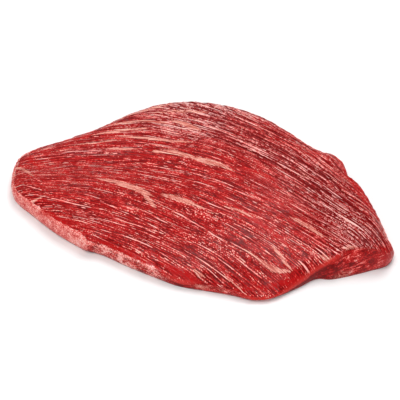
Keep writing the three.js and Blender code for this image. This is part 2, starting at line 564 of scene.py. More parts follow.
@dataclass(frozen=True)
class Patch:
    """A soft-edged area of the top: amount * exp(-dx^2 - ds^2), with dx and ds in reaches."""

    x: float
    s: float
    reach_x: float
    reach_s: float
    amount: float = 1.0

    def cover(self, x: Array, s: Array) -> Array:
        """Gives the patch's amount at each point."""
        dx, ds = (x - self.x) / self.reach_x, (s - self.s) / self.reach_s
        return self.amount * np.exp(-dx * dx - ds * ds)


def strongest(strands: tuple[Strand, ...], x: Array, s: Array, widened: float = 1.0) -> Array:
    """Gives at each point the amount of the strand that counts most there."""
    return np.max([strand.amount(x, s, widened) for strand in strands], axis=0)


def covered_by(patches: tuple[Patch, ...], x: Array, s: Array) -> Array:
    """Gives at each point the sum of the patches, at most 1."""
    return np.minimum(sum(patch.cover(x, s) for patch in patches), 1)


# Strands of fat.
FAT = (
    Strand((-88, -7.5), (-32, -17.5), 9.5, 1.5, lean=1.9),
    Strand((-41, -17), (-26, -29), 8.5, lean=0.8),
    Strand((-28, -13.5), (10, -14), 7.5, 1.0, lean=0.6),
    Strand((-50, 35), (-11, 32.5), 10.0, 2.5, lean=0.8),
    Strand((-22, 33.5), (12, 32), 9.0, 0.3, lean=1.6),
    Strand((4, 32), (20, 30), 3.0),
    Strand((-82, 56), (-20, 52), 6.0, -3.5, lean=0.8),
    Strand((-74, 54), (-50, 50), 3.0, -0.5),
    Strand((-86, 37), (-60, 36), 4.5, -0.8),
    Strand((-93, 74), (-48, 74), 6.0, 3.0, 0.9),
    Strand((-48, 78), (-20, 68), 8.0, 1.0),
    Strand((23, -5), (46, -3), 3.0, 0.8),
    Strand((72, 13), (103, 12.5), 6.0, 1.0),
    Strand((49, -30), (75, -31), 3.0, 0.8),
    Strand((67, -15), (88, -22), 4.8, -0.5),
    Strand((52, -28.5), (88, -22.5), 5.2, -4.2, 1.0, 1.2),
    Strand((104, -1), (116, 3), 5.0),
    Strand((119, 12.5), (128, 20), 5.0, 0, 0.9),
    Strand((18, -66), (29, -65), 3.2),
    Strand((40, -56), (58, -56), 2.4, 0, 0.7),
    Strand((-151, 24), (-129, -7), 7.0),
    Strand((-125, -51), (-111, -40), 5.0, -1.5, 0.9),
    Strand((11, -16), (27, -13), 3.0, 1.0, 0.7),
    Strand((-98, 82), (-48, 107), 9.0, 0, 0.75),
    Strand((-104, 58), (-60, 66), 9.0, 2.0, 0.6),
    Strand((-64, 90), (-18, 93), 7.0, 0, 0.55),
    Strand((-118, 44), (-80, 48), 7.0, 1.0, 0.55),
)
# Long pale lines, thinner than the strands of fat.
LINES = (
    Strand((-138, -21), (-112, -34.5), 3.4),
    Strand((-141, 2), (-118, -20), 3.0, 0, 0.8),
    Strand((-72, -37), (1, -50.5), 2.2, -1.0),
    Strand((-128, -38), (-66, -46.5), 2.4, -3.0),
    Strand((-34, -21.5), (38, -34), 2.2, -1.0),
    Strand((-42, -33.5), (0, -42.5), 2.4),
    Strand((-90, -47), (-62, -46), 2.0),
    Strand((18, -33), (52, -30), 2.2),
    Strand((6, -56), (50, -56.5), 2.2),
    Strand((90, 39), (134, 33.5), 2.8, -1.5, 0.8),
    Strand((91, 4), (112, 1.5), 2.4, -0.5),
    Strand((90, -13.5), (102, -13.5), 2.6),
    Strand((-86, -58.5), (10, -57.5), 1.9, 1.5, 0.9),
    Strand((-70, -70), (6, -68), 2.2, 3.0, 0.9),
    Strand((36, -39.5), (78, -39), 1.9, 0, 0.8),
    Strand((-84, -49), (20, -46), 1.8, -4.0, 0.8),
    Strand((60, 24), (118, 22), 2.0, 0, 0.7),
    Strand((20, 60), (96, 53), 2.6, -4.0, 0.8),
    Strand((-10, 70), (60, 57), 2.2, -2.0, 0.7),
    Strand((-130, 5), (-60, 12), 1.8, 1.0, 0.7),
    Strand((-120, 22), (-70, 27), 2.0, 1.0, 0.8),
    Strand((-100, -28), (-40, -37), 1.8, -1.0, 0.7),
    Strand((-60, 4), (-6, 1), 1.9, 1.0, 0.7),
    Strand((-20, -5), (24, -8), 1.9, 0, 0.7),
    Strand((24, -18), (74, -22), 1.9, 0, 0.8),
    Strand((-62, 18), (0, 18), 1.8, 1.0, 0.7),
    Strand((0, 14), (60, 12), 1.9, 0, 0.7),
    Strand((50, -66), (84, -44), 1.8, 0, 0.7),
    Strand((30, -48), (76, -47), 1.9, 0, 0.8),
    # The next two run just inside the lobe's rim: partly its pinkish edge, partly painted highlight of
    # the rim.
    Strand((111, 4.5), (126, 21), 2.4, 0, 0.9),
    Strand((130, 26), (152, 41), 2.4, 0, 0.9),
)
# Patches of silver skin, which also carry the top's sheen: partly real, partly painted sheen.
SILVER_AND_SHEEN = (
    Patch(-32, 73, 30, 13, 1.0),
    Patch(-30, 100, 50, 14, 1.0),
    Patch(-100, 32, 22, 4, 0.7),
    Patch(55, 62, 50, 10, 0.55),
    Patch(95, 45, 40, 16, 0.6),
    Patch(125, 25, 25, 22, 0.6),
)
# Where the cut is gritty with fine pale grains.
GRIT = (
    Patch(10, -19, 22, 7),
    Patch(38, -36, 26, 8),
    Patch(16, -44, 18, 6, 0.7),
    Patch(110, 30, 22, 10, 0.8),
    Patch(-20, 24, 22, 5, 0.6),
    Patch(-60, -25, 24, 5, 0.6),
    Patch(80, -5, 22, 8, 0.6),
)
# Where the surface is less wet and slightly darker.
DULL = (
    Patch(62, -48, 50, 24, 0.8),
    Patch(115, 40, 40, 36, 0.7),
    Patch(60, 60, 50, 20, 0.4),
)
# Strips of smooth red muscle.
SMOOTH_RED = (
    Strand((-122, -54), (-70, -82), 9.0, 0, 1.0),
    Strand((-64, -78), (0, -78), 7.0, 0.5),
    Strand((-8, -74), (32, -70), 9.0),
    Strand((16, 2), (88, -10), 8.0, 0, 0.8),
    Strand((90, 88), (113, 68), 8.0, 0, 0.9),
    Strand((108, 70), (140, 53), 9.0, 0, 0.9),
    Strand((20, 35), (58, 36), 6.0, 2.0, 0.8),
    Strand((50, -60), (104, -12), 6.0, -2.0, 0.9),
    Strand((-148, 44), (-128, 8), 9.0, 0, 0.8),
    Strand((-96, -1), (-76, -10), 6.0, 0, 0.8),
    Strand((-70, 30), (-30, 27), 4.0, 0, 0.7),
)
# Lumps of fat on the near wall, with s as the share of the way down.
WALL_FAT = (
    Patch(121, 0.9, 5, 0.2, 0.9),
    Patch(27, 0.35, 7, 0.4, 0.8),
    Patch(45, 0.5, 12, 0.5, 0.32),
)
# The named furrows, which are the deepest.
FURROWS = (
    Strand((105, 52), (148, 39), 3.4, 0, 1.0),
    Strand((80, 68), (114, 53), 3.0, 0, 0.8),
    Strand((-20, 66), (92, 46.5), 2.6, -2.0, 0.6),
    Strand((-20, 88), (94, 61), 2.6, -4.0, 0.6),
    Strand((60, 36), (120, 30), 2.2, 0, 0.5),
)


@dataclass(frozen=True)
class Fibres:
    """The relief of the cut muscle: bundles side by side, coarse ropes at the back, and lumps.

    Attributes:
        pitch: Width of a bundle.
        crown: Height of a bundle's rounded back.
        broad_pitch: Width of the broad bundles that the bundles lie in.
        broad_crown: Height of a broad bundle's rounded back.
        wander: How the bundles wander off their lines, in bundles.
        furrow: Half width of a furrow, as a share of a bundle.
        shallow: Depth that every furrow has.
        deep: Further depth of the deepest furrows.
        come_and_go: The noise that a furrow's further depth follows.
        furrow_apart: Steps on that noise from a furrow to the next.
        furrow_levels: Levels of that noise between which the further depth grows.
        named: Depth of the named furrows.
        lump: Height of the lumps along a bundle.
        lumps: The lumps, as shares of that height.
        fat_rise: How far the fat stands up.
        back: s between which the closing at the back sets in.
        closing: How fast the fibres at the back close up, per millimetre.
        closing_from: x at which they start to.
        near_starts: s between which the lean of the near fibres sets in.
        near_ends: s between which it ends.
        lean: How fast the near fibres fall in the left half.
        lean_from: x at which they start to.
        rope_slant: How far the ropes' border falls with x.
        rope_border: s on that border between which the ropes set in.
        rope_pitch, rope_crown: Width of a rope, and height of its rounded back.
        rope_wander: How the ropes wander off their lines, in ropes.
        rope_thickness: Thickness of a middling rope, as a share of the thickest.
        rope_swell, rope_apart: How that changes along a rope, and steps on its noise to the next.
        rope_sink: How deep the ropes lie in the top, as a share of their height.
        rope_calm: How much of the lumps a rope takes away.
    """

    pitch: float = 2.9
    crown: float = 0.16
    broad_pitch: float = 7.6
    broad_crown: float = 0.35
    wander: tuple[Ripple, ...] = (Ripple(11, 60, 20, 0.5), Ripple(12, 19, 6, 0.15))
    furrow: float = 0.17
    shallow: float = 0.03
    deep: float = 0.3
    come_and_go: Ripple = Ripple(13, 21, 1)
    furrow_apart: float = 1.37
    furrow_levels: Span = (-0.1, 0.8)
    named: float = 0.9
    lump: float = 0.12
    lumps: tuple[Ripple, ...] = (Ripple(14, 6, 2.4), Ripple(15, 3.2, 1.2, 0.5))
    fat_rise: float = 0.2
    back: Span = (8, 32)
    closing: float = 0.0033
    closing_from: float = -60
    near_starts: Span = (-58, -30)
    near_ends: Span = (-12, 13)
    lean: float = 0.1
    lean_from: float = -80
    rope_slant: float = 0.5
    rope_border: Span = (52, 78)
    rope_pitch: float = 4.6
    rope_crown: float = 1.0
    rope_wander: tuple[Ripple, ...] = (Ripple(16, 50, 14, 0.7), Ripple(17, 15, 5, 0.25))
    rope_thickness: float = 0.7
    rope_swell: Ripple = Ripple(18, 28, 1, 0.3)
    rope_apart: float = 2.3
    rope_sink: float = 0.6
    rope_calm: float = 0.6

    def own_line(self, x: Array, s: Array) -> Array:
        """Gives the number of the fibres' own line, which leans against the grain line.

        At the back the fibres close up towards the right, by s times closing times x from
        closing_from on. In the left half of the near side they fall towards the right, by lean
        times x, from lean_from on.

        Args:
            x: Along the steak.
            s: The grain line's number.

        Returns:
            The own line's numbers, in the steps of s.
        """
        at_back = smooth(s, *self.back)
        near_side = smooth(s, *self.near_starts) * (1 - smooth(s, *self.near_ends))
        closed = s * (1 + self.closing * np.maximum(x, self.closing_from) * at_back)
        return closed + self.lean * np.clip(x, self.lean_from, 0) * near_side

    def bundle_phase(self, x: Array, s: Array) -> Array:
        """Numbers the bundles: their own line over the pitch, wandering slowly along the grain."""
        return self.own_line(x, s) / self.pitch + rippled(self.wander, x, s)

    def roped(self, x: Array, s: Array) -> Array:
        """Measures how far a point is in the area at the back and right that is made of ropes."""
        return smooth(s + self.rope_slant * x, *self.rope_border)

    def rope_back(self, x: Array, s: Array) -> tuple[Array, Array]:
        """Gives the place across a rope and how thick the rope is there.

        Args:
            x: Along the steak.
            s: The grain line's number.

        Returns:
            1 - (2 d)^2, with d from the rope's middle in rope widths, and its thickness as a
            share of the thickest.
        """
        phase = self.own_line(x, s) / self.rope_pitch + rippled(self.rope_wander, x, s)
        off_middle = 2 * np.abs(phase - np.floor(phase) - 0.5)
        swell = self.rope_swell.at(x, np.floor(phase) * self.rope_apart)
        return 1 - off_middle ** 2, self.rope_thickness + swell

    def furrow_depth(self, x: Array, s: Array) -> Array:
        """Gives how deep the furrow nearest to each point cuts there.

        A furrow's profile is exp(-(distance / half width)^2), and its further depth comes and
        goes along it. The named furrows add their own depth.

        Args:
            x: Along the steak.
            s: The grain line's number.

        Returns:
            Depths, 0 or more.
        """
        phase = self.bundle_phase(x, s)
        number = np.round(phase)
        profile = np.exp(-(((phase - number) / self.furrow) ** 2))
        further = smooth(self.come_and_go.at(x, number * self.furrow_apart), *self.furrow_levels)
        return profile * (self.shallow + self.deep * further) + self.named * strongest(FURROWS, x, s)

    def height(self, x: Array, s: Array) -> Array:
        """Gives the relief's height over the smooth top.

        It is crown * (1 - (2 d)^2) over each bundle and each broad bundle, with d the distance
        from its middle in its widths, less the furrows, plus lumps of two sizes, the ropes and
        the fat.

        Args:
            x: Along the steak.
            s: The grain line's number.

        Returns:
            Heights, above and below 0.
        """
        phase = self.bundle_phase(x, s)
        broad_phase = phase * self.pitch / self.broad_pitch
        off_middle = 2 * np.abs(phase - np.floor(phase) - 0.5)
        off_broad_middle = 2 * np.abs(broad_phase - np.floor(broad_phase) - 0.5)
        back = self.crown * (1 - off_middle ** 2) + self.broad_crown * (1 - off_broad_middle ** 2)
        roped = self.roped(x, s)
        lumps = self.lump * rippled(self.lumps, x, s) * (1 - self.rope_calm * roped)
        rope_back, rope_thickness = self.rope_back(x, s)
        ropes = self.rope_crown * roped * rope_thickness * (rope_back - self.rope_sink)
        fat = self.fat_rise * strongest(FAT, x, s)
        return back + lumps + ropes + fat - self.furrow_depth(x, s)


@dataclass
class Skin:
    """A closed skin under construction, as lists of arrays that are joined at the end.

    Attributes:
        points: Places of the points.
        grain_map: Places of the points on the grain map.
        marks: Marks of the points, a column a mark.
        faces: The triangles.
        count: How many points there are so far.
    """

    points: list[Array] = field(default_factory=list)
    grain_map: list[Array] = field(default_factory=list)
    marks: list[Array] = field(default_factory=list)
    faces: list[Triangles] = field(default_factory=list)
    count: int = 0

    def add_points(self, points: Array, grain_map: Array, marks: Array) -> Triangles:
        """Adds points of any grid shape.

        Args:
            points: Their places.
            grain_map: Their places on the grain map, a row a point.
            marks: Their marks, a row a point and a column a mark.

        Returns:
            The points' numbers, in the grid's shape.
        """
        flat = points.reshape(-1, 3)
        self.points.append(flat)
        self.grain_map.append(grain_map)
        self.marks.append(marks)
        numbers = np.arange(self.count, self.count + len(flat)).reshape(points.shape[:-1])
        self.count += len(flat)
        return numbers

    def _add_cells(self, corners: tuple[Triangles, ...], from_first: Array) -> None:
        """Adds two triangles a cell.

        Args:
            corners: The numbers of the cells' corners, a, b, c and d in order round each cell.
            from_first: Whether a cell is cut from its first corner, not from its second.
        """
        a, b, c, d = corners
        first = np.where(from_first[..., None], np.stack([a, b, c], -1), np.stack([a, b, d], -1))
        second = np.where(from_first[..., None], np.stack([a, c, d], -1), np.stack([b, c, d], -1))
        self.faces += [first.reshape(-1, 3), second.reshape(-1, 3)]

    def add_sheet(self, numbers: Triangles, faces_up: bool) -> None:
        """Adds a sheet of rows of points.

        The cells of each quarter are cut towards their own corner of the outline, so that no
        corner is left as a sliver.

        Args:
            numbers: The points' numbers, row by row.
            faces_up: Whether the sheet faces up.
        """
        a, b = numbers[:-1, :-1], numbers[:-1, 1:]
        c, d = numbers[1:, 1:], numbers[1:, :-1]
        near = np.arange(a.shape[0])[:, None] < a.shape[0] / 2
        left = np.arange(a.shape[1])[None, :] < a.shape[1] / 2
        if not faces_up:
            b, d = d, b
        self._add_cells((a, b, c, d), near == left)

    def add_band(self, upper: Triangles, lower: Triangles) -> None:
        """Adds a band between two closed rings of as many points."""
        next_lower, next_upper = np.roll(lower, -1), np.roll(upper, -1)
        self._add_cells((lower, next_lower, next_upper, upper), np.ones(len(upper), bool))

    def add_halving_band(self, upper: Triangles, lower: Triangles) -> None:
        """Adds a band down to a closed ring of half as many points, three triangles a step.

        Args:
            upper: The numbers of the upper ring's points.
            lower: The numbers of the lower ring's points.
        """
        first, middle, last = upper[::2], upper[1::2], np.roll(upper, -2)[::2]
        after = np.roll(lower, -1)
        self.faces += [
            np.stack([lower, middle, first], -1),
            np.stack([lower, after, middle], -1),
            np.stack([after, last, middle], -1),
        ]


def in_columns(amounts: dict[Mark, Array], count: int) -> Array:
    """Puts the marks' amounts side by side in the marks' order, with 0 for missing ones."""
    return np.stack([amounts.get(mark, np.zeros(count)).ravel() for mark in Mark], axis=-1)


@dataclass
class Steak:
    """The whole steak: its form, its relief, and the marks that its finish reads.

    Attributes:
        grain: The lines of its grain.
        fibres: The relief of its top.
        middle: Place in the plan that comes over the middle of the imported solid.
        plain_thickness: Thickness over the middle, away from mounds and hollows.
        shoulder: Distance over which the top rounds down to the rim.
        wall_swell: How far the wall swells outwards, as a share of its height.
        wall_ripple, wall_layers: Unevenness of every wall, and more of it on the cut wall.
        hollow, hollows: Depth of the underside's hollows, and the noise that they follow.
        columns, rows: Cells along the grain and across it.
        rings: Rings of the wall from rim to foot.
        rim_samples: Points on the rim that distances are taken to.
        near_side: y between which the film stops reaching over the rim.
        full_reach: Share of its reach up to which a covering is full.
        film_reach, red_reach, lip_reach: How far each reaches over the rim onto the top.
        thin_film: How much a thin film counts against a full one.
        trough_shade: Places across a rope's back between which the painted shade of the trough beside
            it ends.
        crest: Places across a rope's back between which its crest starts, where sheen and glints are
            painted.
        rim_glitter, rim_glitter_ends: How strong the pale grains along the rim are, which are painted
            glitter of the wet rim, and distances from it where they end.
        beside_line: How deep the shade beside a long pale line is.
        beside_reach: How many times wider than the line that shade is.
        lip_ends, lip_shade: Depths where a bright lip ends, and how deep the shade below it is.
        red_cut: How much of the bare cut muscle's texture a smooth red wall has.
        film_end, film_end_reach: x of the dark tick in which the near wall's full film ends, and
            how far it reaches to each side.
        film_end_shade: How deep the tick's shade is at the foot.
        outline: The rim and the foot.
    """

    grain: MuscleGrain = field(default_factory=MuscleGrain)
    fibres: Fibres = field(default_factory=Fibres)
    middle: Span = (1.32, 1.28)
    plain_thickness: float = 16.5
    shoulder: float = 10.0
    wall_swell: float = 0.08
    wall_ripple: Ripple = Ripple(31, 5, 2.5, 0.22)
    wall_layers: Ripple = Ripple(32, 8, 2.6, 0.75)
    hollow: float = 0.25
    hollows: Ripple = Ripple(41, 30, 3)
    columns: int = 150
    rows: int = 440
    rings: int = 10
    rim_samples: int = 1500
    near_side: Span = (-12, 12)
    full_reach: float = 0.3
    film_reach: float = 2.8
    red_reach: float = 4.0
    lip_reach: float = 1.4
    thin_film: float = 0.46
    trough_shade: Span = (0.0, 0.5)
    crest: Span = (0.3, 0.85)
    rim_glitter: float = 0.6
    rim_glitter_ends: Span = (1.5, 4.5)
    beside_line: float = 0.5
    beside_reach: float = 2.4
    lip_ends: Span = (1.2, 3.4)
    lip_shade: float = 0.6
    red_cut: float = 0.35
    film_end: float = -62.5
    film_end_reach: float = 2.6
    film_end_shade: float = 0.7
    outline: Outline = field(init=False)

    def __post_init__(self) -> None:
        """Makes the outline on this steak's grain."""
        self.outline = Outline(self.grain)

    def nearest_rim(self, x: Array, y: Array) -> tuple[Array, Array]:
        """Finds the nearest point of the rim to each point of the plan, a row at a time.

        Args:
            x: Along the steak.
            y: Across the steak.

        Returns:
            The distance to it, and the share of the way round at which it stands.
        """
        shares = np.arange(self.rim_samples) / self.rim_samples
        rim = self.outline.rim(shares)
        distance = np.empty(x.shape)
        share = np.empty(x.shape)
        for row in range(len(x)):
            gaps = np.hypot(x[row][:, None] - rim[:, 0], y[row][:, None] - rim[:, 1])
            nearest = gaps.argmin(axis=1)
            distance[row] = gaps[np.arange(len(nearest)), nearest]
            share[row] = shares[nearest]
        return distance, share

    def smooth_height(self, x: Array, y: Array, distance: Array, share: Array) -> Array:
        """Gives the top's height without its relief.

        It is the rim's height, plus what the thickness has over it times q (2 - q), with q the
        distance from the rim in shoulders, at most 1.

        Args:
            x: Along the steak.
            y: Across the steak.
            distance: Distance to the rim.
            share: Share of the way round of the nearest rim.

        Returns:
            Heights over the ground.
        """
        thickness = self.plain_thickness + sum(mound.height(x, y) for mound in MOUNDS)
        rim_height = self.outline.rim(share.ravel())[:, 2].reshape(x.shape)
        inwards = np.minimum(distance / self.shoulder, 1)
        return rim_height + (thickness - rim_height) * inwards * (2 - inwards)

    def wall_points(self, shares: Array, down: float) -> Array:
        """Gives a ring of the wall.

        A point is on the straight line from rim to foot, swollen outwards by wall_swell times
        the height plus the unevenness, all times sin(pi down), which is 0 at both ends.

        Args:
            shares: Shares of the way round.
            down: Share of the way down from rim to foot.

        Returns:
            A point for each share.
        """
        rim, foot = self.outline.rim(shares), self.outline.foot(shares)
        height = rim[:, 2]
        length = np.cumsum(np.linalg.norm(rim - np.roll(rim, 1, axis=0), axis=1))
        cut = self.outline.covered(shares, Wall.CUT)
        layers = self.wall_layers.at(length, height * down) * cut
        uneven = self.wall_ripple.at(length, height * down) + layers
        swell = (self.wall_swell * height + uneven) * np.sin(np.pi * down)
        return rim * (1 - down) + foot * down + self.outline.outwards(shares) * swell[:, None]

    def build(self) -> bpy.types.Object:
        """Builds the steak's mesh with its grain map and the marks for its finish.

        Returns:
            The steak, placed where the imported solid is.
        """
        sides = self.outline.sides(self.columns, self.rows)
        foot_sides = sides.halved()
        skin = Skin()
        top = self._add_top(skin, sides)
        underside = self._add_underside(skin, foot_sides)
        shares = sides.round_shares()
        ring = top[sides.round_cells()]
        for number in range(1, self.rings):
            down = number / self.rings
            points, marks = self.wall_points(shares, down), self.wall_marks(shares, down)
            lower = skin.add_points(points, self.wall_map(shares, down), marks)
            skin.add_band(ring, lower)
            ring = lower
        skin.add_halving_band(ring, underside[foot_sides.round_cells()])
        return self._to_object(skin)

    def _add_top(self, skin: Skin, sides: Sides) -> Triangles:
        """Adds the top: the smooth height plus the relief over the plan inside the rim.

        Args:
            skin: The skin under construction.
            sides: The divided sides of the outline.

        Returns:
            The numbers of its points, row by row.
        """
        x, s = self.outline.fill(sides, on_foot=False)
        y = self.grain.y(x, s)
        distance, share = self.nearest_rim(x, y)
        z = self.smooth_height(x, y, distance, share) + self.fibres.height(x, s)
        marks = self.top_marks(x, s, distance, share)
        numbers = skin.add_points(np.stack([x, y, z], -1), self.grain_map(x, s), marks)
        skin.add_sheet(numbers, faces_up=True)
        return numbers

    def _add_underside(self, skin: Skin, sides: Sides) -> Triangles:
        """Adds the underside: flat on the ground, with shallow hollows inside its edge.

        Args:
            skin: The skin under construction.
            sides: The divided sides of the outline.

        Returns:
            The numbers of its points, row by row.
        """
        x, s = self.outline.fill(sides, on_foot=True)
        z = self.hollow * smooth(self.hollows.at(x, s), 0, 1)
        z[0] = z[-1] = z[:, 0] = z[:, -1] = 0
        points = np.stack([x, self.grain.y(x, s), z], -1)
        numbers = skin.add_points(points, self.grain_map(x, s), in_columns({}, x.size))
        skin.add_sheet(numbers, faces_up=False)
        return numbers

    def _over_rim(self, wall: Wall, reach: float, distance: Array, share: Array) -> Array:
        """Gives what reaches over the rim: all of it up to a share of the reach, and 0 at the reach."""
        covering = self.outline.covered(share.ravel(), wall).reshape(share.shape)
        return covering * (1 - smooth(distance, reach * self.full_reach, reach))

    def top_marks(self, x: Array, s: Array, distance: Array, share: Array) -> Array:
        """Marks the top for its finish.

        The film reaches over the rim on the near side only. Furrows are shaded, and so are the
        troughs between the ropes and the borders of the long pale lines.

        Args:
            x: Along the steak.
            s: The grain line's number.
            distance: Distance to the rim.
            share: Share of the way round of the nearest rim.

        Returns:
            Each mark's amount at each point, a column a mark.
        """
        film = self._over_rim(Wall.FILM, self.film_reach, distance, share)
        thin = self._over_rim(Wall.THIN, self.film_reach, distance, share)
        red = self._over_rim(Wall.RED, self.red_reach, distance, share)
        near = 1 - smooth(self.grain.y(x, s), *self.near_side)
        roped = self.fibres.roped(x, s)
        rope_back, rope_thickness = self.fibres.rope_back(x, s)
        trough_shade = roped * rope_thickness * (1 - smooth(rope_back, *self.trough_shade))
        # Pale grains along the rim: painted glitter of the wet rim.
        rim_glitter_grains = self.rim_glitter * (1 - smooth(distance, *self.rim_glitter_ends))
        line = strongest(LINES, x, s)
        beside = self.beside_line * (strongest(LINES, x, s, self.beside_reach) - line)
        amounts = {
            Mark.FAT: strongest(FAT, x, s),
            Mark.LINE: line,
            Mark.FILM: near * (film + self.thin_film * thin),
            # Silver skin and painted sheen.
            Mark.SILVER_AND_SHEEN: covered_by(SILVER_AND_SHEEN, x, s),
            Mark.RED: np.maximum(strongest(SMOOTH_RED, x, s), red),
            Mark.LIP: self._over_rim(Wall.LIP, self.lip_reach, distance, share),
            Mark.GRIT: np.maximum(covered_by(GRIT, x, s), rim_glitter_grains),
            Mark.DULL: covered_by(DULL, x, s),
            Mark.ROPE: roped,
            # The crests carry painted sheen and painted glint ticks.
            Mark.CREST: roped * smooth(rope_back, *self.crest),
            # Painted shade in the furrows, the troughs between the ropes and beside the long pale
            # lines.
            Mark.PAINTED_SHADE: np.clip(self.fibres.furrow_depth(x, s) + trough_shade + beside, 0, 1),
        }
        return in_columns(amounts, x.size)

    def wall_marks(self, shares: Array, down: float) -> Array:
        """Marks a ring of the wall for its finish.

        A lip covers only the upper part of the wall, and bare cut muscle the rest. The near
        wall's full film ends in a dark tick, exp(-(distance from film_end / its reach)^2).

        Args:
            shares: Shares of the way round.
            down: Share of the way down from rim to foot.

        Returns:
            Each mark's amount at each point, a column a mark.
        """
        rim = self.outline.rim(shares)
        near = rim[:, 1] < 0
        red = self.outline.covered(shares, Wall.RED)
        lip = self.outline.covered(shares, Wall.LIP)
        lip_left = 1 - smooth(rim[:, 2] * down, *self.lip_ends)
        under_lip = lip * (1 - lip_left)
        tick = np.exp(-(((rim[:, 0] - self.film_end) / self.film_end_reach) ** 2)) * near
        lump = covered_by(WALL_FAT, rim[:, 0], down + 0 * lip) * near
        thin = self.outline.covered(shares, Wall.THIN)
        film = self.outline.covered(shares, Wall.FILM) + self.thin_film * thin
        cut = self.outline.covered(shares, Wall.CUT) + under_lip + self.red_cut * red
        amounts = {
            Mark.FAT: lump,
            Mark.FILM: film * (1 - tick),
            Mark.CUT: np.maximum(cut, tick) * (1 - lump),
            Mark.LIP: lip * lip_left * (1 - lump),
            Mark.RED: red,
            # Painted shade under the lip, and in the film's end tick, darker towards the foot.
            Mark.PAINTED_SHADE: np.maximum(self.lip_shade * under_lip, self.film_end_shade * tick * down),
        }
        return in_columns(amounts, len(shares))

    def grain_map(self, x: Array, s: Array) -> Array:
        """Maps points by x and by the bundle they lie on, with the bundles a pitch apart."""
        across = self.fibres.bundle_phase(x, s) * self.fibres.pitch
        return np.stack([x, across], -1).reshape(-1, 2)

    def wall_map(self, shares: Array, down: float) -> Array:
        """Unrolls the wall outwards from the rim on the grain map, by its distance down.

        Args:
            shares: Shares of the way round.
            down: Share of the way down from rim to foot.

        Returns:
            A place on the grain map for each share.
        """
        rim = self.outline.rim(shares)
        drop = rim[:, 2:] * down * self.outline.outwards(shares)[:, :2]
        return self.grain_map(rim[:, 0], self.grain.line(rim[:, 0], rim[:, 1])) + drop

    def _to_object(self, skin: Skin) -> bpy.types.Object:
        """Turns the finished skin into an object.

        The mesh is moved level so that the plan's middle comes over the middle of the solid's box.

        Args:
            skin: The closed skin.

        Returns:
            The object, in metres.
        """
        low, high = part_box(NODE)
        solid_middle = (np.array(low) + np.array(high))[:2] / 2
        points = np.concatenate(skin.points) * MM
        points[:, :2] += solid_middle - np.array(self.middle) * MM

        mesh = bpy.data.meshes.new("flank_steak")
        mesh.from_pydata(points.tolist(), [], np.concatenate(skin.faces).tolist())
        mesh.shade_smooth()
        corner_points = np.empty(len(mesh.loops), int)
        mesh.loops.foreach_get("vertex_index", corner_points)
        layer = mesh.uv_layers.new(name=GRAIN_MAP)
        grain_map = np.concatenate(skin.grain_map) * MM
        layer.data.foreach_set("uv", grain_map[corner_points].ravel())
        for mark, values in zip(Mark, np.concatenate(skin.marks).T):
            attribute = mesh.attributes.new(mark.value, "FLOAT", "POINT")
            attribute.data.foreach_set("value", np.ascontiguousarray(values))
        steak = bpy.data.objects.new("flank_steak", mesh)
        bpy.context.scene.collection.objects.link(steak)
        return steak

    def dress(self, steak: bpy.types.Object, finish: "RawBeef") -> None:
        """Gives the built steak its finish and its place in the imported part.

        Args:
            steak: The steak that build() gave.
            finish: The finish.
        """
        steak.data.materials.append(finish.material())
        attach(steak, BODY)
        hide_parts(NODE)


Socket = bpy.types.NodeSocket
Tints = tuple[tuple[float, Colour], ...]
# The colour sockets of a Mix node, which share their names with its other sockets.
MIX_FIRST, MIX_SECOND, MIX_RESULT = 6, 7, 2


